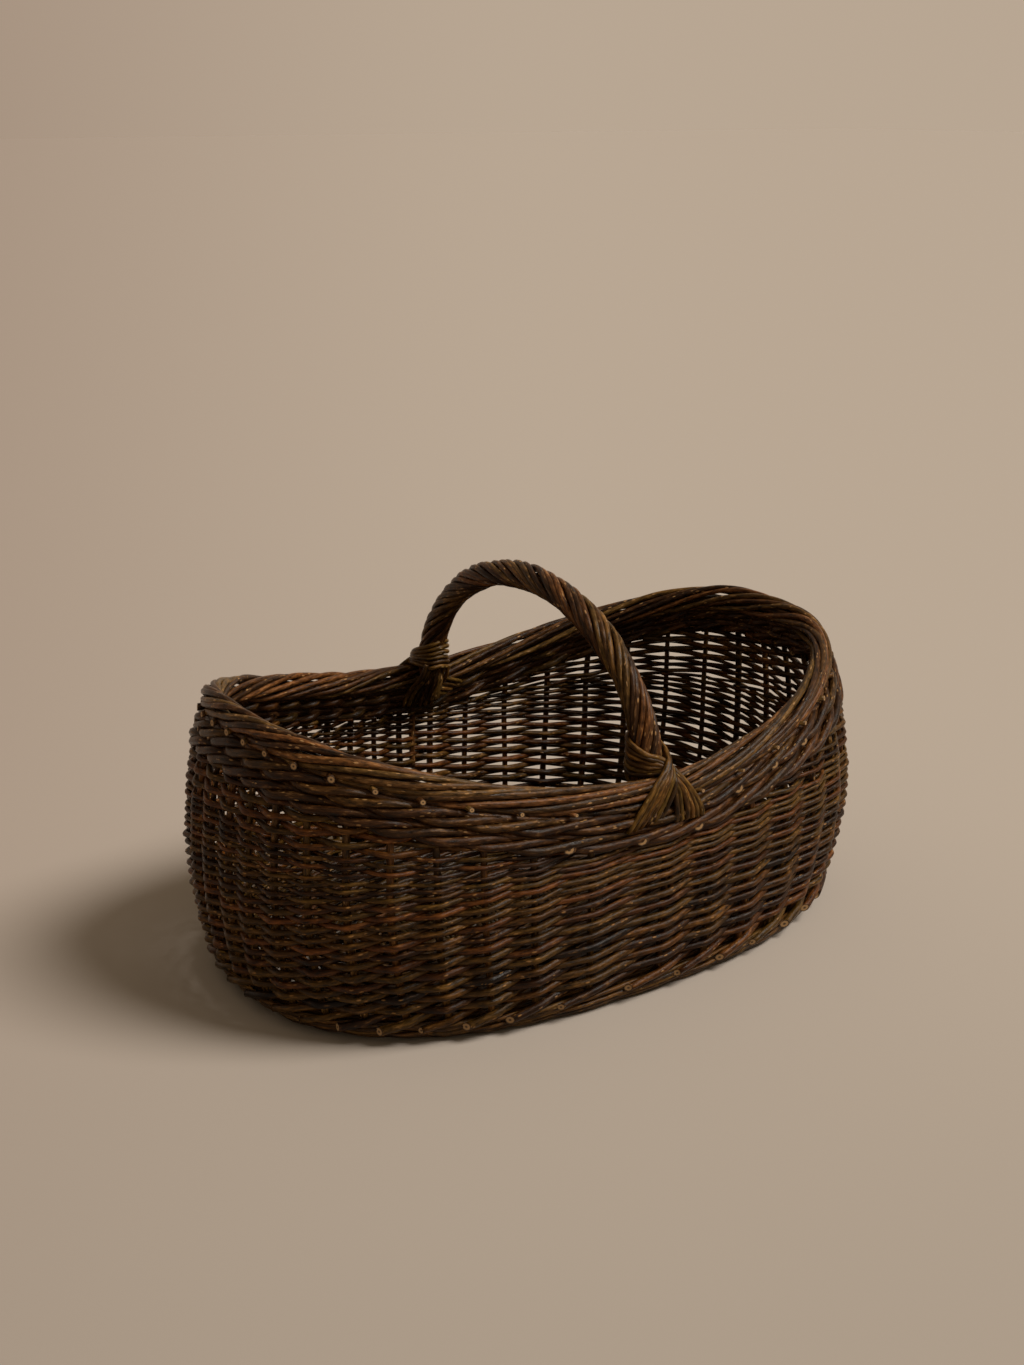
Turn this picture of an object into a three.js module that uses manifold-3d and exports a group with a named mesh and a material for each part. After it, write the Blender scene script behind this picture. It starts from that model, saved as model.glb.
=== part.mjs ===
// Oval willow basket with a saddle rim and a roped cross handle.
// Upright stakes stand on a foot ring and end in a rolled border. Siding and a top wale weave round them.
// Millimetres, +Z up, long side along X, handle across Y, origin on the floor under the middle.

import * as THREE from 'three';
import Module from 'manifold-3d';

const wasm = await Module();
wasm.setup();

// Driving dimensions of the wall, measured to the middle of the stakes
const STAKE_COUNT = 34;
const STAKE_CROWDING = 0.17;
const PLAN_POWER = 2.8;
const BASE_HALF_LENGTH = 252;
const BASE_HALF_WIDTH = 164;
const BELLY_HALF_LENGTH = 276;
const BELLY_HALF_WIDTH = 175;
const BELLY_HEIGHT = 105;
const RIM_HALF_LENGTH = 255;
const RIM_HALF_WIDTH = 167;
const RIM_MIDDLE_HEIGHT = 167;
const RIM_END_HEIGHT = 225;
const RIM_SWEEP_POWER = 1.6;

// Rods
const CLEARANCE = 0.3;
const ROD_SIDES = 4;
const STAKE_DIAMETER = 6.2;
const STAKE_END_ROOM = 0.9;
const WALE_DIAMETER = 5;
const WALE_RISE_IN_RODS = 1.55;
const WALE_ROUNDS = 2;
const STEP_UP_STAKES = 7;
const SIDING_DIAMETER = 5.4;
const SIDING_ROW_GAP = 2.2;

// Where an upright bends, in parts of the way from its foot to the belly
const UPRIGHT_BENDS = [0, 0.16, 0.45, 1];

// Border: each stake runs round a core line over this many stake spaces, and is cut below it
const BORDER_SPACES = 6;
const BORDER_ROD_DIAMETER = 5.4;
const BORDER_TIP_DIAMETER = 4.9;
const BORDER_OVERHANG = 2;
const BORDER_BEND = 7;
const BORDER_ENTRY = 0.2;
const BORDER_END_REACH = 9;

// Base
const FOOT_HEIGHT = 8;
const FOOT_SIDES = 6;
const FOOT_INSET = 2;
const STICK_WIDTH = 6;
const STICK_END_ROOM = 2;
const CROSS_STICKS = [-2, -1, 0, 1, 2];
const CROSS_STICK_PITCH = 66;
const CROSS_STICK_SPLAY = 1.3;
const CROSS_STICK_RUN_ON = 13;
const LONG_STICKS = [-1, 0, 1];
const LONG_STICK_PITCH = 22;
const LONG_STICK_FAN = 3.2;
const LONG_STICK_RUN_ON = 26;
const BASE_FLOOR_GAP = 1.3;
const BASE_WEAVER_DIAMETER = 4;
const BASE_WEAVER_LIFT = 1.5;
const BASE_ROWS = 6;
const BASE_EDGE_MARGIN = 17;
const BASE_HEART_HALF_LENGTH = 172;
const BASE_HEART_HALF_WIDTH = 66;

// Handle
const HANDLE_HEIGHT = 290;
const HANDLE_ARCH_POWER = 1.04;
const LEG_BEND_HEIGHT = 45;
const BOW_DIAMETER = 8.4;
const BOW_SIDES = 6;
const ROPE_STRANDS = 6;
const ROPE_DIAMETER = 6.4;
const ROPE_LAY = 115;
const COLLAR_ROD_DIAMETER = 4;
const COLLAR_TURNS = 4;
const COLLAR_RISE = 8;
const TAIL_ROD_DIAMETER = 4.2;
const TAIL_RODS = 5;
const TAIL_SPREAD = 30;
const TAIL_DROP = 32;
const TAIL_BEND = 10;
const TAIL_ANGLES = [80, 45, 10];
const BAND_VALLEY = 0.55;
const INNER_BAND_RODS = 4;

// Inner band: distance along the rim from the handle, and rise from the rim
const INNER_BAND_ROUTE = [[-14, 5], [-24, -3], [-36, -11]];

// Finish
const BARK_BROWN = { color: 0x3d2a1a, roughness: 0.55, metalness: 0 };
const BARK_OLIVE = { color: 0x4a3f22, roughness: 0.55, metalness: 0 };
const BARK_RED = { color: 0x4b2a1a, roughness: 0.55, metalness: 0 };
const BARK_GREY = { color: 0x3a322a, roughness: 0.6, metalness: 0 };

// Fineness of worked-out lines
const PLAN_STEPS = 2880;
const ARCH_STEPS = 28;
const WIND_STEPS = 6;
const HALVINGS = 40;

const UP = new THREE.Vector3(0, 0, 1);
const basket = new THREE.Group();

function addPiece(name, geometry, finish) {
  const piece = new THREE.Mesh(geometry, new THREE.MeshStandardMaterial(finish));
  piece.name = name;
  basket.add(piece);
}

function numbered(name, index) {
  return `${name}_${String(index + 1).padStart(2, '0')}`;
}

// Solid helpers

function solidOf(positions, triangles) {
  const geometry = new THREE.BufferGeometry();
  geometry.setAttribute('position', new THREE.Float32BufferAttribute(positions, 3));
  geometry.setIndex(triangles);
  geometry.computeVertexNormals();
  return geometry;
}

// Closed skin through a row of like rings of points. A loop has no end caps.
function loftGeometry(rings, capTriangles, loop = false) {
  const sides = rings[0].length;
  const positions = rings.flat().flatMap((point) => point.toArray());
  const triangles = [];
  const spans = loop ? rings.length : rings.length - 1;
  for (let span = 0; span < spans; span += 1) {
    const here = span * sides;
    const next = ((span + 1) % rings.length) * sides;
    for (let side = 0; side < sides; side += 1) {
      const after = (side + 1) % sides;
      triangles.push(here + side, here + after, next + after);
      triangles.push(here + side, next + after, next + side);
    }
  }
  if (!loop) {
    const last = (rings.length - 1) * sides;
    for (const [a, b, c] of capTriangles) {
      triangles.push(a, c, b);
      triangles.push(last + a, last + b, last + c);
    }
  }
  return solidOf(positions, triangles);
}

function fanTriangles(sides) {
  return Array.from({ length: sides - 2 }, (_, k) => [0, k + 1, k + 2]);
}

function directionAt(points, index, loop) {
  const count = points.length;
  const step = (from, to) => points[to].clone().sub(points[from]).normalize();
  const before = loop ? (index + count - 1) % count : index - 1;
  const after = loop ? (index + 1) % count : index + 1;
  const direction = new THREE.Vector3();
  if (loop || index > 0) direction.add(step(before, index));
  if (loop || index < count - 1) direction.add(step(index, after));
  return direction.normalize();
}

// A round rod along a line of points. Its sides are carried along the line without twist.
function rodRings(points, startRadius, endRadius, sides, turn, loop) {
  const rings = [];
  let normal = null;
  points.forEach((point, index) => {
    const along = directionAt(points, index, loop);
    if (!normal) normal = Math.abs(along.z) > Math.SQRT1_2 ? new THREE.Vector3(1, 0, 0) : UP.clone();
    normal.addScaledVector(along, -normal.dot(along)).normalize();
    const across = new THREE.Vector3().crossVectors(along, normal);
    const share = index / (points.length - 1);
    const radius = startRadius + (endRadius - startRadius) * share;
    const ring = Array.from({ length: sides }, (_, k) => {
      const angle = turn + (k * 2 * Math.PI) / sides;
      return point.clone()
        .addScaledVector(normal, radius * Math.cos(angle))
        .addScaledVector(across, radius * Math.sin(angle));
    });
    rings.push(ring);
  });
  return rings;
}

function rodGeometry(points, diameter, options = {}) {
  const { endDiameter = diameter, sides = ROD_SIDES, turn = 0, loop = false } = options;
  const rings = rodRings(points, diameter / 2, endDiameter / 2, sides, turn, loop);
  return loftGeometry(rings, fanTriangles(sides), loop);
}

function toManifold(geometry) {
  const vertProperties = new Float32Array(geometry.getAttribute('position').array);
  const triVerts = new Uint32Array(geometry.getIndex().array);
  return new wasm.Manifold(new wasm.Mesh({ numProp: 3, vertProperties, triVerts }));
}

function joined(geometries) {
  const whole = geometries.map(toManifold).reduce((sum, next) => sum.add(next));
  const mesh = whole.getMesh();
  return solidOf(Array.from(mesh.vertProperties), Array.from(mesh.triVerts));
}

// Wall: an oval plan that changes size with height

function ovalRadius(angle, halfLength, halfWidth) {
  const x = Math.abs(Math.cos(angle) / halfLength) ** PLAN_POWER;
  const y = Math.abs(Math.sin(angle) / halfWidth) ** PLAN_POWER;
  return (x + y) ** (-1 / PLAN_POWER);
}

const planLengths = [0];
for (let k = 1; k <= PLAN_STEPS; k += 1) {
  const [a, b] = [k - 1, k].map((step) => {
    const angle = (step * 2 * Math.PI) / PLAN_STEPS;
    const radius = ovalRadius(angle, BELLY_HALF_LENGTH, BELLY_HALF_WIDTH);
    return new THREE.Vector2(radius * Math.cos(angle), radius * Math.sin(angle));
  });
  planLengths.push(planLengths[k - 1] + a.distanceTo(b));
}
const PERIMETER = planLengths[PLAN_STEPS];

// Place on the unit oval at a share of the way round, from +X towards +Y
function planAt(share) {
  const target = (share - Math.floor(share)) * PERIMETER;
  let low = 0;
  let high = PLAN_STEPS;
  while (high - low > 1) {
    const middle = (low + high) >> 1;
    if (planLengths[middle] > target) high = middle;
    else low = middle;
  }
  const part = (target - planLengths[low]) / (planLengths[high] - planLengths[low]);
  const angle = ((low + part) * 2 * Math.PI) / PLAN_STEPS;
  const radius = ovalRadius(angle, BELLY_HALF_LENGTH, BELLY_HALF_WIDTH);
  return {
    x: (radius * Math.cos(angle)) / BELLY_HALF_LENGTH,
    y: (radius * Math.sin(angle)) / BELLY_HALF_WIDTH,
  };
}

// Half size of the wall at a height: rounded out from the base, then drawn in or out to the rim
function halfSize(height, base, belly, rim, rimHeight) {
  if (height < BELLY_HEIGHT) {
    const drop = 1 - height / BELLY_HEIGHT;
    return base + (belly - base) * Math.sqrt(1 - drop * drop);
  }
  const rise = (height - BELLY_HEIGHT) / (rimHeight - BELLY_HEIGHT);
  return belly + (rim - belly) * rise * rise;
}

function halfLengthAt(height) {
  return halfSize(height, BASE_HALF_LENGTH, BELLY_HALF_LENGTH, RIM_HALF_LENGTH, RIM_END_HEIGHT);
}

function halfWidthAt(height) {
  return halfSize(height, BASE_HALF_WIDTH, BELLY_HALF_WIDTH, RIM_HALF_WIDTH, RIM_MIDDLE_HEIGHT);
}

function outwardAt(share) {
  const plan = planAt(share);
  const x = (Math.sign(plan.x) * Math.abs(plan.x) ** (PLAN_POWER - 1)) / BELLY_HALF_LENGTH;
  const y = (Math.sign(plan.y) * Math.abs(plan.y) ** (PLAN_POWER - 1)) / BELLY_HALF_WIDTH;
  return new THREE.Vector3(x, y, 0).normalize();
}

function wallPoint(share, height, offset = 0) {
  const plan = planAt(share);
  const point = new THREE.Vector3(halfLengthAt(height) * plan.x, halfWidthAt(height) * plan.y, height);
  return point.addScaledVector(outwardAt(share), offset);
}

function rimHeight(share) {
  const sweep = Math.abs(planAt(share).x) ** RIM_SWEEP_POWER;
  return RIM_MIDDLE_HEIGHT + (RIM_END_HEIGHT - RIM_MIDDLE_HEIGHT) * sweep;
}

// Uprights: the stakes, and the two handle legs that stand inside the middle stakes

const HANDLE_STAKES = [Math.floor(STAKE_COUNT / 4), Math.floor((3 * STAKE_COUNT) / 4)];
const STAKE_RADIUS = STAKE_DIAMETER / 2;
const BOW_RADIUS = BOW_DIAMETER / 2;
const PAIR_OFFSET = BOW_RADIUS;
const LEG_OFFSET = PAIR_OFFSET - STAKE_RADIUS - BOW_RADIUS - CLEARANCE;

// Six rods lie round the border's core line, so between stakes the ring of rods is at its narrowest
const BORDER_STEP = (2 * Math.PI) / BORDER_SPACES;
const BORDER_RADIUS = (BORDER_ROD_DIAMETER + CLEARANCE)
  / (2 * Math.sin(BORDER_STEP / 2) * Math.cos(BORDER_STEP / 2));
const BORDER_OUTER_RADIUS = BORDER_RADIUS + BORDER_ROD_DIAMETER / 2;
const BORDER_END_DROP = BORDER_RADIUS + BORDER_ROD_DIAMETER;
const BORDER_DEPTH = BORDER_END_DROP + BORDER_ROD_DIAMETER / 2 + CLEARANCE;
const LEG_RIM_OFFSET = BORDER_OVERHANG - BORDER_OUTER_RADIUS - BOW_RADIUS - 2 * CLEARANCE;

// The stakes stand closer together round the two ends than along the sides
function stakeShare(index) {
  const even = (index + 0.5) / STAKE_COUNT;
  const quarterTurns = 4 * Math.PI * even;
  return even - (STAKE_CROWDING * Math.sin(quarterTurns)) / (4 * Math.PI);
}

function wrap(index) {
  return ((index % STAKE_COUNT) + STAKE_COUNT) % STAKE_COUNT;
}

function isHandleStake(index) {
  return HANDLE_STAKES.includes(wrap(index));
}

// The stakes' slanted ends stand just clear of the foot ring
const STAKE_SEAT = FOOT_HEIGHT + CLEARANCE + STAKE_END_ROOM;

function stakeWall(index) {
  const share = stakeShare(index);
  const top = rimHeight(share) - BORDER_RADIUS - BORDER_BEND;
  const offset = isHandleStake(index) ? PAIR_OFFSET : 0;
  const low = UPRIGHT_BENDS.map((part) => STAKE_SEAT + (BELLY_HEIGHT - STAKE_SEAT) * part);
  const heights = [...low, (BELLY_HEIGHT + top) / 2, top];
  return heights.map((height) => wallPoint(share, height, offset));
}

function legWall(index) {
  const share = stakeShare(index);
  const rim = rimHeight(share);
  const bend = rim - LEG_BEND_HEIGHT;
  const low = UPRIGHT_BENDS.map((part) => STAKE_SEAT + (bend - STAKE_SEAT) * part);
  const points = low.map((height) => wallPoint(share, height, LEG_OFFSET));
  points.push(wallPoint(share, rim - BORDER_DEPTH, LEG_RIM_OFFSET));
  return points;
}

const stakeWalls = Array.from({ length: STAKE_COUNT }, (_, index) => stakeWall(index));
const legWalls = new Map(HANDLE_STAKES.map((index) => [index, legWall(index)]));

// Place and lean of an upright at a height
function uprightAt(points, height) {
  let span = 0;
  while (span < points.length - 2 && points[span + 1].z < height) span += 1;
  const [low, high] = [points[span], points[span + 1]];
  const point = low.clone().lerp(high, (height - low.z) / (high.z - low.z));
  const lean = high.clone().sub(low).normalize().z;
  return { point, lean };
}

// Middle of a rod that passes an upright on its outer (+1) or inner (-1) side.
// At the handle the rod runs straight past the pair of uprights before it turns.
function besideStake(index, height, side, diameter) {
  const atHandle = isHandleStake(index);
  const behindLeg = side < 0 && atHandle;
  const upright = behindLeg ? legWalls.get(wrap(index)) : stakeWalls[wrap(index)];
  const radius = behindLeg ? BOW_RADIUS : STAKE_RADIUS;
  const { point, lean } = uprightAt(upright, height);
  const reach = (radius + diameter / 2 + CLEARANCE) / lean;
  const outward = outwardAt(stakeShare(index));
  const onward = new THREE.Vector3().crossVectors(UP, outward);
  point.addScaledVector(outward, side * reach);
  if (!atHandle) return [point];
  return [-BOW_RADIUS, BOW_RADIUS].map((along) => point.clone().addScaledVector(onward, along));
}

// Middle of the space after a stake
function betweenStakes(index, height) {
  const here = uprightAt(stakeWalls[wrap(index)], height).point;
  const next = uprightAt(stakeWalls[wrap(index + 1)], height).point;
  return here.add(next).multiplyScalar(0.5);
}

// Base: foot ring, slath of crossed sticks, and two chasing weavers

const footLine = Array.from({ length: STAKE_COUNT }, (_, index) => {
  const point = wallPoint(stakeShare(index), STAKE_SEAT, -FOOT_INSET);
  return point.setZ(FOOT_HEIGHT / 2);
});
const footDiameter = FOOT_HEIGHT / Math.cos(Math.PI / FOOT_SIDES);
addPiece('foot_ring', rodGeometry(footLine, footDiameter, {
  sides: FOOT_SIDES, turn: Math.PI / FOOT_SIDES, loop: true,
}), BARK_BROWN);

// The sticks end just inside the foot ring, which is narrower at their underside than at its middle
const STICK_HEIGHT = BASE_FLOOR_GAP + BASE_WEAVER_DIAMETER + BASE_WEAVER_LIFT + STICK_WIDTH / 2;
const stickOverFoot = Math.abs(STICK_HEIGHT - STICK_WIDTH / 2 - FOOT_HEIGHT / 2);
const footHalfWidth = footDiameter / 2 - stickOverFoot * Math.tan(Math.PI / FOOT_SIDES);
const STICK_INSET = FOOT_INSET + footHalfWidth + STICK_END_ROOM;
const stickHalfLength = halfLengthAt(STAKE_SEAT) - STICK_INSET;
const stickHalfWidth = halfWidthAt(STAKE_SEAT) - STICK_INSET;

function ovalHalf(across, halfAcross, halfAlong) {
  return halfAlong * (1 - Math.abs(across / halfAcross) ** PLAN_POWER) ** (1 / PLAN_POWER);
}

function crossStick(place) {
  const x = place * CROSS_STICK_PITCH;
  const tip = x * CROSS_STICK_SPLAY;
  const y = ovalHalf(tip, stickHalfLength, stickHalfWidth);
  const bend = LONG_STICKS.at(-1) * LONG_STICK_PITCH + CROSS_STICK_RUN_ON;
  return [[tip, -y], [x, -bend], [x, bend], [tip, y]];
}

function longStick(place) {
  const y = place * LONG_STICK_PITCH;
  const tip = y * LONG_STICK_FAN;
  const x = ovalHalf(tip, stickHalfWidth, stickHalfLength);
  const bend = CROSS_STICKS.at(-1) * CROSS_STICK_PITCH + LONG_STICK_RUN_ON;
  return [[-x, tip], [-bend, y], [bend, y], [x, tip]];
}

function stickGeometry(route) {
  const points = route.map(([x, y]) => new THREE.Vector3(x, y, STICK_HEIGHT));
  return rodGeometry(points, STICK_WIDTH * Math.SQRT2, { turn: Math.PI / 4 });
}

const stickRoutes = [...CROSS_STICKS.map(crossStick), ...LONG_STICKS.map(longStick)];
addPiece('base_slath', joined(stickRoutes.map(stickGeometry)), BARK_GREY);

// Where a row of the base weave crosses each stick, in order round the base
function spokesAt(rowShare) {
  const edgeLength = stickHalfLength - BASE_EDGE_MARGIN;
  const edgeWidth = stickHalfWidth - BASE_EDGE_MARGIN;
  const halfLength = BASE_HEART_HALF_LENGTH + (edgeLength - BASE_HEART_HALF_LENGTH) * rowShare;
  const halfWidth = BASE_HEART_HALF_WIDTH + (edgeWidth - BASE_HEART_HALF_WIDTH) * rowShare;
  const isOutside = (point) => Math.abs(point.x / halfLength) ** PLAN_POWER
    + Math.abs(point.y / halfWidth) ** PLAN_POWER > 1;
  const arms = stickRoutes.flatMap((route) => [[route[1], route[0]], [route[2], route[3]]]);
  const spokes = arms.map(([root, tip]) => {
    const from = new THREE.Vector3(...root, 0);
    const to = new THREE.Vector3(...tip, 0);
    let [low, high] = [0, 1];
    for (let k = 0; k < HALVINGS; k += 1) {
      const middle = (low + high) / 2;
      if (isOutside(from.clone().lerp(to, middle))) high = middle;
      else low = middle;
    }
    return from.lerp(to, low);
  });
  const round = (point) => (Math.atan2(point.y, point.x) + 2 * Math.PI) % (2 * Math.PI);
  return spokes.sort((a, b) => round(a) - round(b));
}

const SPOKES = 2 * stickRoutes.length;
const baseRise = STICK_WIDTH / 2 + BASE_WEAVER_DIAMETER / 2 + BASE_WEAVER_LIFT;
for (const weaver of [0, 1]) {
  const points = [];
  const start = weaver * (SPOKES / 2);
  const steps = (BASE_ROWS / 2) * SPOKES;
  for (let step = 0; step <= steps; step += 1) {
    const place = start + step;
    const row = (2 * step) / SPOKES;
    const point = spokesAt(row / BASE_ROWS)[place % SPOKES];
    const side = (step + weaver * (SPOKES / 2 + 1)) % 2 === 0 ? 1 : -1;
    points.push(point.clone().setZ(STICK_HEIGHT + side * baseRise));
  }
  addPiece(numbered('base_weaver', weaver), rodGeometry(points, BASE_WEAVER_DIAMETER), BARK_RED);
}

// Top wale: three rods, each outside two stakes and then inside one, with a step up after a round

const WALE_STROKE_RISE = WALE_RISE_IN_RODS * WALE_DIAMETER;
const CROSSING_RISE = WALE_DIAMETER / 2 + CLEARANCE;

const WALE_HALF_BAND = WALE_STROKE_RISE / 2 + WALE_DIAMETER / 2;
const WALE_BAND = (WALE_ROUNDS - 1) * 2 * WALE_STROKE_RISE + 2 * WALE_HALF_BAND;

function waleRod(rod) {
  const meanAt = (step) => {
    const round = Math.floor(step / STAKE_COUNT);
    const climb = Math.max(0, step - (round + 1) * STAKE_COUNT + STEP_UP_STAKES) / STEP_UP_STAKES;
    const level = Math.min(round + climb, WALE_ROUNDS - 1);
    const lowest = rimHeight(stakeShare(step)) - BORDER_DEPTH - WALE_BAND + WALE_HALF_BAND;
    return lowest + level * 2 * WALE_STROKE_RISE;
  };
  const lastStep = WALE_ROUNDS * STAKE_COUNT - STEP_UP_STAKES;
  const points = [];
  for (let step = 0; step <= lastStep; step += 1) {
    const mean = meanAt(step);
    const phase = (step + rod) % 3;
    if (phase === 0) {
      const before = (meanAt(step - 1) + mean) / 2;
      const after = (mean + meanAt(step + 1)) / 2;
      points.push(betweenStakes(step - 1, before + CROSSING_RISE));
      points.push(...besideStake(step, mean, -1, WALE_DIAMETER));
      points.push(betweenStakes(step, after - CROSSING_RISE));
    } else {
      const lift = (phase - 1.5) * WALE_STROKE_RISE;
      points.push(...besideStake(step, mean + lift, 1, WALE_DIAMETER));
    }
  }
  return points;
}

for (const rod of [0, 1, 2]) {
  addPiece(numbered('top_wale', rod), rodGeometry(waleRod(rod), WALE_DIAMETER), BARK_OLIVE);
}

// Siding: two rods chase each other up the wall, in front of one stake and behind the next

const SIDING_FOOT = FOOT_HEIGHT + CLEARANCE;

function sidingTop(share) {
  return rimHeight(share) - BORDER_DEPTH - WALE_BAND - CLEARANCE;
}

const lowestSiding = sidingTop(stakeShare(HANDLE_STAKES[0])) - SIDING_FOOT;
const SIDING_ROWS = 2 * Math.floor(lowestSiding / (SIDING_DIAMETER + SIDING_ROW_GAP) / 2);

function sidingRod(rod) {
  const points = [];
  const start = rod * (STAKE_COUNT / 2);
  const steps = ((SIDING_ROWS - 1) / 2) * STAKE_COUNT;
  for (let step = 0; step <= steps; step += 1) {
    const index = start + step;
    const share = stakeShare(index);
    const row = (2 * step) / STAKE_COUNT;
    const pitch = (sidingTop(share) - SIDING_FOOT) / SIDING_ROWS;
    const height = SIDING_FOOT + (row + 0.5) * pitch;
    const side = (index + rod) % 2 === 0 ? 1 : -1;
    points.push(...besideStake(index, height, side, SIDING_DIAMETER));
  }
  return points;
}

for (const rod of [0, 1]) {
  addPiece(numbered('siding_weaver', rod), rodGeometry(sidingRod(rod), SIDING_DIAMETER), BARK_RED);
}

// Stakes with their border rods

function borderPoint(share, angle, radius = BORDER_RADIUS) {
  const core = wallPoint(share, rimHeight(share), BORDER_OVERHANG);
  return core
    .addScaledVector(outwardAt(share), radius * Math.cos(angle))
    .addScaledVector(UP, radius * Math.sin(angle));
}

// Each stake bends into the border, rolls out and over the top, and comes out below it, cut short
function borderRoute(index) {
  const start = -Math.PI / 2;
  const corners = [];
  for (let k = 0; k < BORDER_SPACES; k += 1) {
    corners.push(borderPoint(stakeShare(index + k), start + k * BORDER_STEP));
  }
  const entry = corners[0].clone().lerp(corners[1], BORDER_ENTRY);
  const last = index + BORDER_SPACES - 1;
  const under = (part, offset, drop) => {
    const share = stakeShare(last + part);
    return wallPoint(share, rimHeight(share), BORDER_OVERHANG + offset).addScaledVector(UP, -drop);
  };
  const exit = [
    under(0.28, -0.85 * BORDER_RADIUS, 0.62 * BORDER_END_DROP),
    under(0.44, -0.2 * BORDER_RADIUS, BORDER_END_DROP),
    under(0.52, BORDER_END_REACH, BORDER_END_DROP),
  ];
  return [entry, ...corners.slice(1), ...exit];
}

for (let index = 0; index < STAKE_COUNT; index += 1) {
  const route = [...stakeWalls[index], ...borderRoute(index)];
  const finish = index % 3 === 0 ? BARK_RED : BARK_BROWN;
  addPiece(numbered('stake', index), rodGeometry(route, STAKE_DIAMETER, {
    endDiameter: BORDER_TIP_DIAMETER,
  }), finish);
}

// Handle: a bow whose legs stand in the wall, roped over the arch and bound at both feet

const [backStake, frontStake] = HANDLE_STAKES;
const handleRim = rimHeight(stakeShare(backStake));
const archHalfSpan = wallPoint(stakeShare(backStake), handleRim, LEG_RIM_OFFSET).y;

function archPoint(angle) {
  const rise = (HANDLE_HEIGHT - handleRim) * Math.sin(angle) ** HANDLE_ARCH_POWER;
  return new THREE.Vector3(0, -archHalfSpan * Math.cos(angle), handleRim + rise);
}

const arch = Array.from({ length: ARCH_STEPS + 1 }, (_, k) => archPoint((k / ARCH_STEPS) * Math.PI));
const bowRoute = [...legWalls.get(frontStake), ...arch, ...legWalls.get(backStake).toReversed()];
addPiece('handle_bow', rodGeometry(bowRoute, BOW_DIAMETER, { sides: BOW_SIDES }), BARK_BROWN);

// Smooth arch line by length, for what is wound round it
const archLine = new THREE.CatmullRomCurve3(
  Array.from({ length: 4 * ARCH_STEPS + 1 }, (_, k) => archPoint((k / (4 * ARCH_STEPS)) * Math.PI)),
);
archLine.arcLengthDivisions = 2000;
const ARCH_LENGTH = archLine.getLength();

function aroundArch(length, radius, angle) {
  const along = length / ARCH_LENGTH;
  const tangent = archLine.getTangentAt(along);
  const side = new THREE.Vector3(1, 0, 0);
  const outer = new THREE.Vector3().crossVectors(side, tangent);
  return archLine.getPointAt(along)
    .addScaledVector(side, radius * Math.cos(angle))
    .addScaledVector(outer, radius * Math.sin(angle));
}

const WIND_STEP = (2 * Math.PI) / WIND_STEPS;
const WIND_SHRINK = Math.cos(WIND_STEP / 2);
const ROPE_RADIUS = (BOW_RADIUS + ROPE_DIAMETER / 2 + CLEARANCE) / WIND_SHRINK;
const ROD_FLAT = Math.cos(Math.PI / ROD_SIDES) / 2;
const ROPE_OUTER_RADIUS = ROPE_RADIUS + ROPE_DIAMETER * ROD_FLAT;
const ROPE_START = BORDER_OUTER_RADIUS + 2 * CLEARANCE;
const ropeSteps = Math.floor((ARCH_LENGTH - 2 * ROPE_START) / (ROPE_LAY / WIND_STEPS));

for (let strand = 0; strand < ROPE_STRANDS; strand += 1) {
  const first = (strand * 2 * Math.PI) / ROPE_STRANDS;
  const points = Array.from({ length: ropeSteps + 1 }, (_, k) => {
    const length = ROPE_START + (k / ropeSteps) * (ARCH_LENGTH - 2 * ROPE_START);
    return aroundArch(length, ROPE_RADIUS, first + k * WIND_STEP);
  });
  addPiece(numbered('handle_rope', strand), rodGeometry(points, ROPE_DIAMETER), BARK_BROWN);
}

const COLLAR_RADIUS = (ROPE_OUTER_RADIUS + COLLAR_ROD_DIAMETER / 2 + CLEARANCE) / WIND_SHRINK;
const COLLAR_PITCH = COLLAR_ROD_DIAMETER + CLEARANCE;
const collarStart = ROPE_START + COLLAR_RISE;

for (const [foot, name] of [[0, 'handle_collar_front'], [1, 'handle_collar_back']]) {
  const points = Array.from({ length: COLLAR_TURNS * WIND_STEPS + 1 }, (_, k) => {
    const length = collarStart + (k / WIND_STEPS) * COLLAR_PITCH;
    return aroundArch(foot ? ARCH_LENGTH - length : length, COLLAR_RADIUS, k * WIND_STEP);
  });
  addPiece(name, rodGeometry(points, COLLAR_ROD_DIAMETER), BARK_OLIVE);
}

// Bindings: flat bands of rods side by side, laid over the border

function bandSection(rods, diameter) {
  const half = (rods * diameter) / 2;
  const section = [new THREE.Vector2(-half, 0), new THREE.Vector2(half, 0)];
  for (let rod = rods - 1; rod >= 0; rod -= 1) {
    const left = -half + rod * diameter;
    section.push(new THREE.Vector2(left + diameter, diameter * BAND_VALLEY));
    section.push(new THREE.Vector2(left + diameter / 2, diameter));
  }
  section.push(new THREE.Vector2(-half, diameter * BAND_VALLEY));
  return section;
}

// Each station has a point, and the way out of the surface that the band lies on
function bandGeometry(stations, rods, diameter) {
  const section = bandSection(rods, diameter);
  const points = stations.map((station) => station.point);
  const rings = stations.map(({ point, out }, index) => {
    const along = directionAt(points, index, false);
    const across = new THREE.Vector3().crossVectors(along, out).normalize();
    const lift = new THREE.Vector3().crossVectors(across, along);
    return section.map((corner) => point.clone()
      .addScaledVector(across, -corner.x)
      .addScaledVector(lift, corner.y));
  });
  return loftGeometry(rings, THREE.ShapeUtils.triangulateShape(section, []));
}

// Point at a distance along the rim from the handle, out from the wall and up from the rim
function footPoint(foot, along, offset, rise) {
  const share = stakeShare(foot) + along / PERIMETER;
  return wallPoint(share, rimHeight(share), offset).addScaledVector(UP, rise);
}

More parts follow.
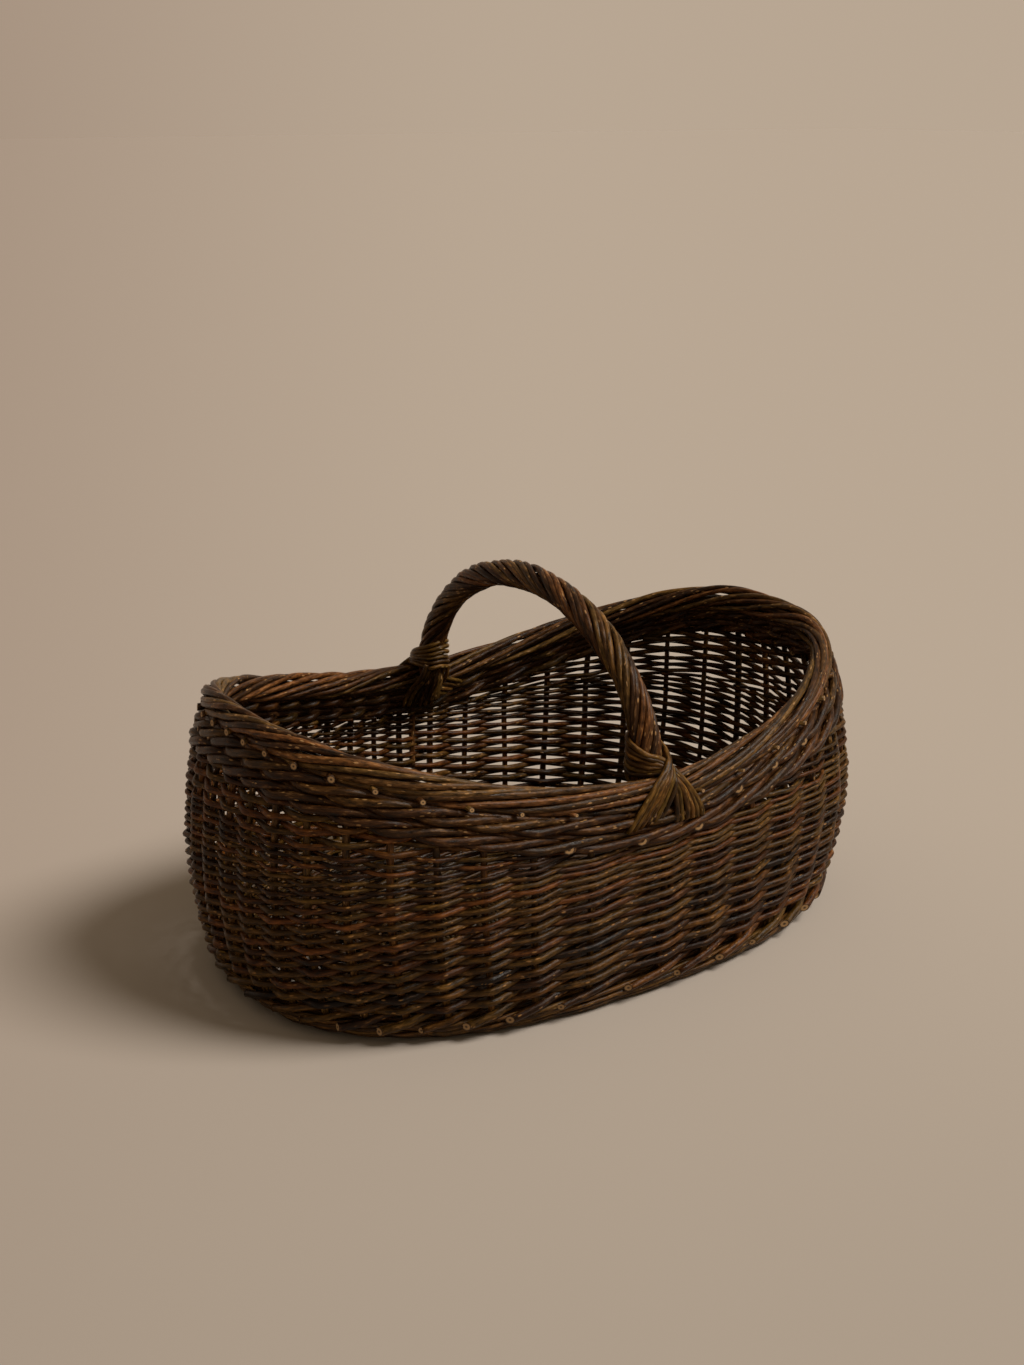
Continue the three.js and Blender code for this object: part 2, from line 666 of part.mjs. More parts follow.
const tailHalfStep = THREE.MathUtils.degToRad(TAIL_ANGLES[0] - TAIL_ANGLES[1]) / 2;
const TAIL_RADIUS = (BORDER_OUTER_RADIUS + 4 * CLEARANCE) / Math.cos(tailHalfStep);
const TAIL_WALE_OFFSET = PAIR_OFFSET + STAKE_RADIUS + WALE_DIAMETER + 3 * CLEARANCE;

function tailStations(foot, side) {
  const stations = TAIL_ANGLES.map((degrees, k) => {
    const angle = THREE.MathUtils.degToRad(degrees);
    const along = (side * TAIL_BEND * k) / (TAIL_ANGLES.length - 1);
    const share = stakeShare(foot) + along / PERIMETER;
    const out = outwardAt(share).multiplyScalar(Math.cos(angle)).addScaledVector(UP, Math.sin(angle));
    return { point: borderPoint(share, angle, TAIL_RADIUS), out };
  });
  for (const part of [0.5, 1]) {
    const along = side * (TAIL_BEND + (TAIL_SPREAD - TAIL_BEND) * part);
    const share = stakeShare(foot) + along / PERIMETER;
    const point = wallPoint(share, rimHeight(share) - TAIL_DROP * part, TAIL_WALE_OFFSET);
    stations.push({ point, out: outwardAt(stakeShare(foot)) });
  }
  return stations;
}

for (const [foot, name] of [[frontStake, 'handle_tail_front'], [backStake, 'handle_tail_back']]) {
  const legs = [-1, 1].map((side) => bandGeometry(tailStations(foot, side), TAIL_RODS, TAIL_ROD_DIAMETER));
  addPiece(name, joined(legs), BARK_OLIVE);
}

const INNER_OFFSET = BORDER_OVERHANG - BORDER_RADIUS - BORDER_ROD_DIAMETER * ROD_FLAT;

for (const [foot, name] of [[frontStake, 'handle_band_front'], [backStake, 'handle_band_back']]) {
  const stations = INNER_BAND_ROUTE.map(([along, rise]) => ({
    point: footPoint(foot, along, INNER_OFFSET, rise),
    out: outwardAt(stakeShare(foot)).negate(),
  }));
  addPiece(name, bandGeometry(stations, INNER_BAND_RODS, TAIL_ROD_DIAMETER), BARK_OLIVE);
}

export default basket;
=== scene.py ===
import math
import random

import bpy
import numpy as np
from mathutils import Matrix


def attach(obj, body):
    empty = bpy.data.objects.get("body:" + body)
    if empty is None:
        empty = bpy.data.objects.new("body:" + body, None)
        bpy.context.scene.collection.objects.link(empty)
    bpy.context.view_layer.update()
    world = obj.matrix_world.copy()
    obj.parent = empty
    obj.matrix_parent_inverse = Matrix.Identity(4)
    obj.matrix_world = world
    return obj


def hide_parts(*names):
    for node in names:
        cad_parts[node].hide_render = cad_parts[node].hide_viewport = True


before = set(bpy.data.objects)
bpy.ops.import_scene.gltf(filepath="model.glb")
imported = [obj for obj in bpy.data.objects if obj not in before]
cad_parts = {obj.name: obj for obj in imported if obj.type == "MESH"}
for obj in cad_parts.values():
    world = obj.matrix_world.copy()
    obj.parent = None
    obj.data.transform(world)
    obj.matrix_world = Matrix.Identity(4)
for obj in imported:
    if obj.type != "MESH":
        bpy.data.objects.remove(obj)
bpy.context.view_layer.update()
scene = bpy.context.scene
bpy.ops.object.select_all(action='DESELECT')


# The base starts from a slath: short willow sticks slit and threaded over three long ones.
# The sticks are stout, grey-brown, cut square, and their ends stop inside the foot of the wall.
# Between the short sticks a thin rod is wound round the long ones.
BASE_POWER = 2.4
BASE_HALF = (0.256, 0.166)
BELLY_HALF = (0.28, 0.177)
BELLY_HEIGHT = 0.105
RIM_HALF = (0.26, 0.167)
RIM_MIDDLE = 0.167
RIM_END = 0.227
STICK_RADIUS = 0.0033
STICK_HEIGHT = 0.0098
STICK_INSET = 0.008
STICK_STEPS = 6
CROSS_STICKS = (-2, -1, 0, 1, 2)
CROSS_PITCH = 0.066
CROSS_SPLAY = 1.3
CROSS_BEND = 0.013
LONG_STICKS = (-1, 0, 1)
LONG_PITCH = 0.022
LONG_FAN = 3.2
LONG_BEND = 0.026
WRAP_RADIUS = 0.0019
WRAP_PITCH = 2.1
WRAP_STEPS = 20
WRAP_POWER = 5


def half_size(height, axis):
    """Half the wall's length (axis 0) or width (axis 1) at a height."""
    height = np.asarray(height, float)
    rim_height = (RIM_END, RIM_MIDDLE)[axis]
    drop = 1 - np.clip(height, 0, BELLY_HEIGHT) / BELLY_HEIGHT
    bulge = BELLY_HALF[axis] - BASE_HALF[axis]
    low = BASE_HALF[axis] + bulge * np.sqrt(1 - drop * drop)
    rise = (np.maximum(height, BELLY_HEIGHT) - BELLY_HEIGHT) / (rim_height - BELLY_HEIGHT)
    high = BELLY_HALF[axis] + (RIM_HALF[axis] - BELLY_HALF[axis]) * rise ** 2
    return np.where(height < BELLY_HEIGHT, low, high)


def smooth_route(points, steps):
    """A smooth curve through the points, with so many steps from each one to the next."""
    points = np.asarray(points, float)
    padded = np.concatenate([[2 * points[0] - points[1]], points, [2 * points[-1] - points[-2]]])
    a, b, c, d = padded[:-3], padded[1:-2], padded[2:-1], padded[3:]
    runs = []
    for t in np.arange(steps) / steps:
        first = 2 * b + (c - a) * t
        later = (2 * a - 5 * b + 4 * c - d) * t ** 2 + (3 * b - a - 3 * c + d) * t ** 3
        runs.append(0.5 * (first + later))
    return np.concatenate([np.stack(runs, axis=1).reshape(-1, points.shape[1]), points[-1:]])


ROD_UPRIGHT = 0.2
ROD_PATTERN_SHIFT = 7.3
BAKE_ROWS_MARGIN = 0.04
BAKE_ROW_INSET = 0.05
BAKE_SPOT = 0.4
BAKE_TINY = 1e-9


def rod_frames(route):
    """The two sideways directions at each point of a rod, carried along it without a twist."""
    along = np.gradient(route, axis=0)
    along /= np.linalg.norm(along, axis=1)[:, None]
    side = np.cross(along[0], (0.0, 0.0, 1.0))
    if np.linalg.norm(side) < ROD_UPRIGHT:
        side = np.cross(along[0], (1.0, 0.0, 0.0))
    sides = []
    for heading in along:
        side = side - heading * np.dot(side, heading)
        side /= np.linalg.norm(side)
        sides.append(side)
    sides = np.array(sides)
    return sides, np.cross(along, sides)


def rod_skin(route, radii, leans, around):
    """Rings of points round a rod. The leans slant the cuts at its butt and its tip."""
    side_a, side_b = rod_frames(route)
    cos, sin = np.cos(around)[None, :, None], np.sin(around)[None, :, None]
    skin = route[:, None, :] + radii[:, None, None] * (cos * side_a[:, None, :] + sin * side_b[:, None, :])
    for end, lean in zip((0, -1), leans):
        into = route[1] - route[0] if end == 0 else route[-2] - route[-1]
        into = into / np.linalg.norm(into)
        skin[end] += np.outer((skin[end] - route[end]) @ np.asarray(lean, float), into)
    return skin


def bake_map(strips, spots, sides, travelled, radius):
    """Where each face lies for baking: bark in long rows, and a small disc for each cut end."""
    rows = max(1, round(math.sqrt(travelled / (2 * np.pi * radius))))
    row_run = travelled / rows * (1 + BAKE_ROWS_MARGIN)
    band = np.floor(strips[:, 0] / (travelled / rows + BAKE_TINY))
    u0, u1 = ((strips[:, edge] - band * travelled / rows) / row_run for edge in (0, 1))
    span = 1 - 2 * BAKE_ROW_INSET
    v0, v1 = ((band + BAKE_ROW_INSET + span * strips[:, edge] / sides) / (rows + 1) for edge in (2, 3))
    walls = np.stack([u0, v0, u0, v1, u1, v1, u1, v0], axis=-1).reshape(-1, 2)
    spot_x = np.repeat((np.arange(spots) + 0.5) / spots, sides)
    spot_y = (rows + 0.5) / (rows + 1)
    spot_size = BAKE_SPOT * min(1 / spots, 1 / (rows + 1))
    turns = np.tile(np.arange(sides), spots) * 2 * np.pi / sides
    fan = [np.stack([spot_x, spot_y + 0 * turns], axis=-1)]
    for step in (0, 1):
        swing = turns + step * 2 * np.pi / sides
        edge_x, edge_y = spot_x + spot_size * np.cos(swing), spot_y + spot_size * np.sin(swing)
        fan.append(np.stack([edge_x, edge_y], axis=-1))
    return np.concatenate([walls, np.stack(fan, axis=1).reshape(-1, 2)])


def lay_rods(name, rods, materials, nodes, sides=8):
    """One mesh of closed round rods. Each rod has a route, a radius per point, a tone pair, and
    where its ends are cut on the slant, the way that each cut face leans."""
    ring = np.arange(sides)
    around = ring * 2 * np.pi / sides
    coords, spaces, tones, cores = [], [], [], []
    quads, caps, strips = [], [], []
    count = 0
    travelled = 0.0
    for route, radii, tone, *leans in rods:
        rings = len(route)
        steps = np.linalg.norm(np.diff(route, axis=0), axis=1)
        run = np.concatenate([[0], np.cumsum(steps)])
        coords += [rod_skin(route, radii, leans, around).reshape(-1, 3), route[[0, -1]]]
        along = run + ROD_PATTERN_SHIFT * tone[1]
        flat = np.zeros((rings, sides, 3))
        flat[:, :, 0] = radii[:, None] * np.cos(around)
        flat[:, :, 1] = radii[:, None] * np.sin(around)
        flat[:, :, 2] = along[:, None]
        spaces += [flat.reshape(-1, 3), [[0, 0, along[0]], [0, 0, along[-1]]]]
        told = np.zeros((rings * sides + 2, 3))
        told[:, 0], told[:, 1] = tone
        told[:-2, 2] = np.repeat(run / run[-1], sides)
        tones.append(told)
        cores += [np.ones(rings * sides), np.zeros(2)]
        row, column = np.meshgrid(np.arange(rings - 1), ring, indexing='ij')
        here = count + row * sides + column
        turn = count + row * sides + (column + 1) % sides
        quads.append(np.stack([here, turn, turn + sides, here + sides], axis=-1).reshape(-1, 4))
        start = travelled + run[row]
        strips.append(np.stack([start, start + steps[row], column, column + 1], axis=-1).reshape(-1, 4))
        travelled += run[-1]
        first, last = count + rings * sides, count + rings * sides + 1
        rim = count + (rings - 1) * sides
        caps.append(np.stack([0 * ring + first, count + (ring + 1) % sides, count + ring], axis=-1))
        caps.append(np.stack([0 * ring + last, rim + ring, rim + (ring + 1) % sides], axis=-1))
        count += rings * sides + 2
    quads, caps, strips = np.concatenate(quads), np.concatenate(caps), np.concatenate(strips)
    mesh = bpy.data.meshes.new(name)
    mesh.from_pydata(np.concatenate(coords).tolist(), [], quads.tolist() + caps.tolist())
    for label, kind, field, values in (
        ("rod_space", 'FLOAT_VECTOR', "vector", spaces),
        ("rod_tone", 'FLOAT_VECTOR', "vector", tones),
        ("rod_core", 'FLOAT', "value", cores),
    ):
        layer = mesh.attributes.new(label, kind, 'POINT')
        layer.data.foreach_set(field, np.concatenate(values).astype(np.float32).ravel())
    smooth = np.concatenate([np.ones(len(quads), bool), np.zeros(len(caps), bool)])
    mesh.polygons.foreach_set("use_smooth", smooth)
    mesh.polygons.foreach_set("material_index", np.where(smooth, 0, 1).astype(np.int32))
    bake = mesh.uv_layers.new(name="OFBake")
    places = bake_map(strips, len(caps) // sides, sides, travelled, float(np.mean(rods[0][1])))
    bake.uv.foreach_set("vector", places.astype(np.float32).ravel())
    for material in materials:
        mesh.materials.append(material)
    piece = bpy.data.objects.new(name, mesh)
    scene.collection.objects.link(piece)
    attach(piece, "root")
    if nodes:
        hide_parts(*nodes)


def put(tree, kind, spot, **settings):
    node = tree.nodes.new(kind)
    node.location = spot
    for key, value in settings.items():
        setattr(node, key, value)
    return node


def math_node(tree, operation, spot, first, second=None, third=None, clamp=False):
    node = put(tree, 'ShaderNodeMath', spot, operation=operation, use_clamp=clamp)
    for socket, value in zip(node.inputs, (first, second, third)):
        if value is None:
            continue
        if isinstance(value, (int, float)):
            socket.default_value = value
        else:
            tree.links.new(value, socket)
    return node.outputs[0]


def colour_mix(tree, spot, share, first, second):
    node = put(tree, 'ShaderNodeMix', spot, data_type='RGBA')
    tree.links.new(share, node.inputs[0])
    for socket, colour in ((node.inputs[6], first), (node.inputs[7], second)):
        if isinstance(colour, tuple):
            socket.default_value = colour
        else:
            tree.links.new(colour, socket)
    return node.outputs[2]


# Bark group: long streaks, patches and lenticels laid along each rod, over its own mix of colours
STREAK_STRETCH = (430, 430, 105)
STREAK_DETAIL = 5.0
STREAK_ROUGHNESS = 0.68
STREAK_SHADE = (5.0, -1.62)
STREAK_DARKEST = 0.12
PATCH_STRETCH = (90, 90, 26)
PATCH_DETAIL = 2.0
PATCH_SHADE = (1.8, 0.1)
LENTICEL_STRETCH = (310, 310, 120)
LENTICEL_SIZE = 0.26
LENTICEL_EDGE = 9.0
LENTICEL_PATCH = 0.5
LENTICEL_RIDGE = 0.5
MOSS_START = 0.55
MOSS_GAIN = 2.2
# The pale mix: partly worn bark, partly painted highlights along the rods
WEAR_HIGHLIGHT_START = 0.57
WEAR_HIGHLIGHT_GAIN = 3.6
WEAR_HIGHLIGHT_MOST = 0.92
SHEEN = (0.45, 0.11)
BARK_SPECULAR = 0.16
BARK_RELIEF = 0.8
BARK_RELIEF_DEPTH = 0.0008

bark_group = bpy.data.node_groups.new("willow bark", 'ShaderNodeTree')
for socket_name in ("Deep", "Warm", "Moss", "Pale"):
    bark_group.interface.new_socket(socket_name, in_out='INPUT', socket_type='NodeSocketColor')
for socket_name, socket_type in (("Colour", 'Color'), ("Roughness", 'Float'), ("Height", 'Float')):
    bark_group.interface.new_socket(socket_name, in_out='OUTPUT', socket_type='NodeSocket' + socket_type)
bark_in = put(bark_group, 'NodeGroupInput', (-1200, 300))
bark_out = put(bark_group, 'NodeGroupOutput', (1000, 0))
rod_space = put(bark_group, 'ShaderNodeAttribute', (-1400, -100), attribute_name="rod_space")
rod_tone = put(bark_group, 'ShaderNodeAttribute', (-1400, 100), attribute_name="rod_tone")
tone_parts = put(bark_group, 'ShaderNodeSeparateXYZ', (-1200, 100))
bark_group.links.new(rod_tone.outputs["Vector"], tone_parts.inputs[0])


def rod_pattern(kind, spot, stretch):
    scale = put(bark_group, 'ShaderNodeVectorMath', (spot[0] - 200, spot[1]), operation='MULTIPLY')
    scale.inputs[1].default_value = stretch
    bark_group.links.new(rod_space.outputs["Vector"], scale.inputs[0])
    texture = put(bark_group, kind, spot)
    texture.inputs["Scale"].default_value = 1.0
    bark_group.links.new(scale.outputs[0], texture.inputs["Vector"])
    return texture


streak = rod_pattern('ShaderNodeTexNoise', (-800, -100), STREAK_STRETCH)
streak.inputs["Detail"].default_value = STREAK_DETAIL
streak.inputs["Roughness"].default_value = STREAK_ROUGHNESS
patch = rod_pattern('ShaderNodeTexNoise', (-800, -350), PATCH_STRETCH)
patch.inputs["Detail"].default_value = PATCH_DETAIL
lenticel = rod_pattern('ShaderNodeTexVoronoi', (-800, -600), LENTICEL_STRETCH)
dots = math_node(bark_group, 'SUBTRACT', (-600, -600), LENTICEL_SIZE, lenticel.outputs["Distance"])
dots = math_node(bark_group, 'MULTIPLY', (-450, -600), dots, LENTICEL_EDGE, clamp=True)
sparse = math_node(bark_group, 'GREATER_THAN', (-600, -760), patch.outputs[0], LENTICEL_PATCH)
dots = math_node(bark_group, 'MULTIPLY', (-300, -600), dots, sparse)
own = colour_mix(bark_group, (-600, 300), tone_parts.outputs[0], bark_in.outputs[0], bark_in.outputs[1])
end_way = math_node(bark_group, 'SUBTRACT', (-1000, 40), tone_parts.outputs[2], 0.5)
end_way = math_node(bark_group, 'ABSOLUTE', (-925, 40), end_way)
end_way = math_node(bark_group, 'POWER', (-850, 40), end_way, 2.0)
mossy = math_node(bark_group, 'ADD', (-800, 180), tone_parts.outputs[1], end_way)
mossy = math_node(bark_group, 'SUBTRACT', (-700, 180), mossy, MOSS_START)
mossy = math_node(bark_group, 'MULTIPLY', (-600, 180), mossy, MOSS_GAIN, clamp=True)
own = colour_mix(bark_group, (-400, 300), mossy, own, bark_in.outputs[2])
shade = math_node(bark_group, 'MULTIPLY_ADD', (-400, -100), streak.outputs[0], *STREAK_SHADE)
shade = math_node(bark_group, 'MAXIMUM', (-300, -100), shade, STREAK_DARKEST)
shade_patch = math_node(bark_group, 'MULTIPLY_ADD', (-400, -300), patch.outputs[0], *PATCH_SHADE)
shade = math_node(bark_group, 'MULTIPLY', (-200, -150), shade, shade_patch)
shaded = put(bark_group, 'ShaderNodeVectorMath', (0, 200), operation='SCALE')
bark_group.links.new(own, shaded.inputs[0])
bark_group.links.new(shade, shaded.inputs["Scale"])
# Bright streaks and lenticels blend towards the pale colour: the lenticels and some wear are real, the rest
# is painted highlight
wear_and_highlight = math_node(bark_group, 'SUBTRACT', (-200, -320), streak.outputs[0], WEAR_HIGHLIGHT_START)
wear_and_highlight = math_node(bark_group, 'MULTIPLY', (0, -320), wear_and_highlight, WEAR_HIGHLIGHT_GAIN, clamp=True)
wear_and_highlight = math_node(bark_group, 'MAXIMUM', (150, -320), wear_and_highlight, dots)
wear_and_highlight = math_node(bark_group, 'MULTIPLY', (300, -320), wear_and_highlight, WEAR_HIGHLIGHT_MOST)
coloured = colour_mix(bark_group, (500, 200), wear_and_highlight, shaded.outputs[0], bark_in.outputs[3])
sheen = math_node(bark_group, 'MULTIPLY_ADD', (500, -50), streak.outputs[0], *SHEEN)
ridges = math_node(bark_group, 'MULTIPLY_ADD', (500, -250), dots, LENTICEL_RIDGE, streak.outputs[0])
for result, socket in zip((coloured, sheen, ridges), bark_out.inputs):
    bark_group.links.new(result, socket)


def new_material(name):
    material = bpy.data.materials.new(name)
    material.use_nodes = True
    return material, material.node_tree, material.node_tree.nodes["Principled BSDF"]


def bark_material(name, deep, warm, moss, pale):
    material, tree, surface = new_material(name)
    surface.inputs["Specular IOR Level"].default_value = BARK_SPECULAR
    bark = put(tree, 'ShaderNodeGroup', (-500, 200), node_tree=bark_group)
    for socket, colour in zip(bark.inputs, (deep, warm, moss, pale)):
        socket.default_value = (*colour, 1)
    relief = put(tree, 'ShaderNodeBump', (-250, -100))
    relief.inputs["Strength"].default_value = BARK_RELIEF
    relief.inputs["Distance"].default_value = BARK_RELIEF_DEPTH
    tree.links.new(bark.outputs["Height"], relief.inputs["Height"])
    tree.links.new(bark.outputs["Colour"], surface.inputs["Base Color"])
    tree.links.new(bark.outputs["Roughness"], surface.inputs["Roughness"])
    tree.links.new(relief.outputs[0], surface.inputs["Normal"])
    return material


# The base sticks' bark is very dark: grey-brown bark, darkened further as painted shade inside the basket
grey_bark = bark_material(
    "grey bark", deep=(0.015, 0.007, 0.0026), warm=(0.042, 0.02, 0.007),
    moss=(0.038, 0.022, 0.006), pale=(0.11, 0.066, 0.029))

# Cut wood, from the middle out: a dark dot of pith, cream wood, and a dark edge of bark
CUT_BANDS = (
    (0.2, (0.06, 0.03, 0.012)), (0.4, (0.4, 0.24, 0.105)),
    (0.74, (0.36, 0.21, 0.088)), (0.88, (0.035, 0.018, 0.008)))
CUT_ROUGHNESS = 0.75

cut_wood, cut_tree, cut_surface = new_material("cut willow")
cut_core = put(cut_tree, 'ShaderNodeAttribute', (-800, 200), attribute_name="rod_core")
cut_ramp = put(cut_tree, 'ShaderNodeValToRGB', (-500, 200))
cut_stops = cut_ramp.color_ramp.elements
for index, (position, colour) in enumerate(CUT_BANDS):
    stop = cut_stops[index] if index < 2 else cut_stops.new(position)
    stop.position = position
    stop.color = (*colour, 1)
cut_tree.links.new(cut_core.outputs["Fac"], cut_ramp.inputs[0])
cut_surface.inputs["Roughness"].default_value = CUT_ROUGHNESS
cut_tree.links.new(cut_ramp.outputs[0], cut_surface.inputs["Base Color"])

base_dice = random.Random(3)
edge_half = tuple(half_size(STICK_HEIGHT, axis) - STICK_INSET for axis in (0, 1))


def edge_reach(offset, along, across):
    return along * (1 - abs(offset / across) ** BASE_POWER) ** (1 / BASE_POWER)


def own_tone(dice):
    return dice.random(), dice.random()


stick_ways = []
for place in CROSS_STICKS:
    x, tip_x = place * CROSS_PITCH, place * CROSS_PITCH * CROSS_SPLAY
    reach = edge_reach(tip_x, edge_half[1], edge_half[0])
    bend = LONG_PITCH + CROSS_BEND
    stick_ways.append([(tip_x, -reach), (x, -bend), (x, bend), (tip_x, reach)])
for place in LONG_STICKS:
    y, tip_y = place * LONG_PITCH, place * LONG_PITCH * LONG_FAN
    reach = edge_reach(tip_y, edge_half[0], edge_half[1])
    bend = CROSS_STICKS[-1] * CROSS_PITCH + LONG_BEND
    stick_ways.append([(-reach, tip_y), (-bend, y), (bend, y), (reach, tip_y)])
stick_rods = []
stick_arms = []
for way in stick_ways:
    stick_arms += [(way[1], way[0]), (way[2], way[3])]
    route = smooth_route([(*spot, STICK_HEIGHT) for spot in way], STICK_STEPS)
    stick_rods.append((route, np.full(len(route), STICK_RADIUS), own_tone(base_dice)))
wrap_room = STICK_RADIUS + WRAP_RADIUS
for bay in CROSS_STICKS[:-1]:
    start, stop = bay * CROSS_PITCH, (bay + 1) * CROSS_PITCH
    winds = int((stop - start - 2 * wrap_room) / (WRAP_PITCH * WRAP_RADIUS))
    swing = np.linspace(0, 2 * np.pi * winds, winds * WRAP_STEPS)
    reach = (np.abs(np.cos(swing)) ** WRAP_POWER + np.abs(np.sin(swing)) ** WRAP_POWER) ** (-1 / WRAP_POWER)
    route = np.stack([
        np.linspace(start + wrap_room, stop - wrap_room, len(swing)),
        (LONG_PITCH + wrap_room) * reach * np.cos(swing),
        STICK_HEIGHT + wrap_room * reach * np.sin(swing)], axis=-1)
    stick_rods.append((route, np.full(len(route), WRAP_RADIUS), own_tone(base_dice)))
lay_rods("base_sticks", stick_rods, (grey_bark, cut_wood), ("base_slath",))


# Fine rods are woven round the slath, over one stick and under the next, row against row,
# until the base is full. They are thin, reddish brown and pressed tight together.
BASE_WEAVE_RADIUS = 0.0022
BASE_WEAVE_UNEVEN = 0.12
BASE_WEAVE_WAVES = 9
BASE_WEAVE_ROWS = 26
BASE_WEAVE_STEPS = 6
BASE_WEAVE_LIFT = 0.0042
BASE_WEAVE_LAP = 2
BASE_HEART = (0.1385, 0.0275)
BASE_EDGE_ROOM = 0.001
ARM_REACH = 1.3
ARM_HALVINGS = 40

# The base weave's bark is its own reddish brown, darkened as painted shade so the inside of the base looks
# dark through the wall
shaded_base_bark = bark_material(
    "shaded base bark", deep=(0.009, 0.004, 0.0014), warm=(0.056, 0.02, 0.005),
    moss=(0.04, 0.021, 0.0045), pale=(0.13, 0.072, 0.026))


def oval_crossing(arm, half_x, half_y):
    """Where a stick's arm crosses an oval, found by halving."""
    near, far = np.array(arm[0]), np.array(arm[1])
    low, high = 0.0, ARM_REACH
    for _ in range(ARM_HALVINGS):
        middle = (low + high) / 2
        spot = near + (far - near) * middle
        inside = (abs(spot[0]) / half_x) ** BASE_POWER + (abs(spot[1]) / half_y) ** BASE_POWER < 1
        low, high = (middle, high) if inside else (low, middle)
    return near + (far - near) * low


stick_arms.sort(key=lambda arm: math.atan2(arm[1][1] / edge_half[1], arm[1][0] / edge_half[0]))
weave_rods = []
for row in range(BASE_WEAVE_ROWS):
    grow = (row + 0.5) / BASE_WEAVE_ROWS
    half_x, half_y = (
        heart + (edge - BASE_EDGE_ROOM - heart) * grow for heart, edge in zip(BASE_HEART, edge_half))
    knots = []
    for spoke, arm in enumerate(stick_arms):
        x, y = oval_crossing(arm, half_x, half_y)
        side = 1 if (spoke + row) % 2 else -1
        knots.append((math.atan2(y / half_y, x / half_x), side))
    route = []
    for spoke, (turn, side) in enumerate(knots):
        following = knots[(spoke + 1) % len(knots)][0]
        if following < turn:
            following += 2 * math.pi
        for step in range(BASE_WEAVE_STEPS):
            share = step / BASE_WEAVE_STEPS
            swing = turn + (following - turn) * share
            cos, sin = math.cos(swing), math.sin(swing)
            reach = (abs(cos) ** BASE_POWER + abs(sin) ** BASE_POWER) ** (-1 / BASE_POWER)
            lift = BASE_WEAVE_LIFT * side * math.cos(math.pi * share)
            route.append((half_x * reach * cos, half_y * reach * sin, STICK_HEIGHT + lift))
    shift = base_dice.randrange(len(route))
    route = np.array(route[shift:] + route[:shift] + route[shift:shift + BASE_WEAVE_LAP])
    waves = np.linspace(0, BASE_WEAVE_WAVES, len(route)) + row
    radii = BASE_WEAVE_RADIUS * (1 + BASE_WEAVE_UNEVEN * np.sin(waves))
    weave_rods.append((route, radii, own_tone(base_dice)))
weave_nodes = ("base_weaver_01", "base_weaver_02")
lay_rods("base_weave", weave_rods, (shaded_base_bark, cut_wood), weave_nodes, sides=6)


# The foot is a few rounds of thin tan rods, twisted in pairs round the edge of the base, inside and
# outside the stakes. The basket stands on them, and they close the gap between the base and the wall.
PLAN_POWER = 2.8
PLAN_STEPS = 2880
STAKES = 45
FRONT_STAKE = 34
FRONT_MIDDLE = 0.75
STAKE_SPACES = (
    (0.0, 0.02), (0.03, 0.025), (0.12, 0.0258), (0.2, 0.03), (0.24, 0.0235), (0.275, 0.0168),
    (0.33, 0.016), (0.4, 0.0178), (0.5, 0.02), (0.56, 0.0196), (0.63, 0.0225), (0.68, 0.027),
    (0.728, 0.052), (0.76, 0.03), (0.85, 0.0269), (0.9, 0.0233), (0.95, 0.0195), (1.0, 0.02))
FOOT_RADIUS = 0.0016
FOOT_UNEVEN = (0.1, 1.7)
FOOT_LOWEST = 1.15 * FOOT_RADIUS
FOOT_TWIST_OUT = 0.0016
FOOT_TWIST_UP = 0.0012
FOOT_SWAY = (0.0006, 0.9)
FOOT_LAP = 0.6
FOOT_STEPS = 6
FOOT_ROUNDS = (
    (0.002, -0.004), (0.0026, 0.0008), (0.0054, 0.003), (0.0084, 0.0038), (0.0114, 0.0038),
    (0.0144, 0.0034), (0.006, -0.0036), (0.01, -0.0042), (0.014, -0.0044), (0.018, -0.0044))

plan_turns = np.linspace(0, 2 * np.pi, PLAN_STEPS + 1)


def oval_reach(turn):
    across = np.abs(np.cos(turn) / BELLY_HALF[0]) ** PLAN_POWER
    deep = np.abs(np.sin(turn) / BELLY_HALF[1]) ** PLAN_POWER
    return (across + deep) ** (-1 / PLAN_POWER)


plan_x = oval_reach(plan_turns) * np.cos(plan_turns)
plan_y = oval_reach(plan_turns) * np.sin(plan_turns)
plan_length = np.concatenate([[0], np.cumsum(np.hypot(np.diff(plan_x), np.diff(plan_y)))])

# How many stakes stand before each share of the way round, from the spaces left between them
shares = np.linspace(0, 1, PLAN_STEPS + 1)
crowding = 1 / np.interp(shares, *zip(*STAKE_SPACES))
tally = np.concatenate([[0], np.cumsum(crowding[1:] + crowding[:-1])])
tally *= STAKES / tally[-1]
tally += FRONT_STAKE - np.interp(FRONT_MIDDLE, shares, tally)


def stake_share(place):
    """The share of the way round at a place, where whole places are stakes."""
    place = np.asarray(place, float)
    laps = np.floor((place - tally[0]) / STAKES)
    return np.interp(place - laps * STAKES, tally, shares) + laps


def plan_at(place):
    run = (stake_share(place) % 1) * plan_length[-1]
    turn = np.interp(run, plan_length, plan_turns)
    reach = oval_reach(turn)
    return reach * np.cos(turn) / BELLY_HALF[0], reach * np.sin(turn) / BELLY_HALF[1]


def outward_at(place):
    x, y = plan_at(place)
    across = np.sign(x) * np.abs(x) ** (PLAN_POWER - 1) / BELLY_HALF[0]
    deep = np.sign(y) * np.abs(y) ** (PLAN_POWER - 1) / BELLY_HALF[1]
    size = np.hypot(across, deep)
    return across / size, deep / size


def wall_at(place, height, offset=0.0):
    """A point of the wall at a place round it and a height, so far out from the stakes."""
    x, y = plan_at(place)
    out_x, out_y = outward_at(place)
    height = height + 0 * x
    power = BASE_POWER + (PLAN_POWER - BASE_POWER) * np.clip(height / BELLY_HEIGHT, 0, 1)
    tuck = (np.abs(x) ** power + np.abs(y) ** power) ** (-1 / power)
    across = half_size(height, 0) * x * tuck + out_x * offset
    deep = half_size(height, 1) * y * tuck + out_y * offset
    return np.stack([across, deep, height], axis=-1)


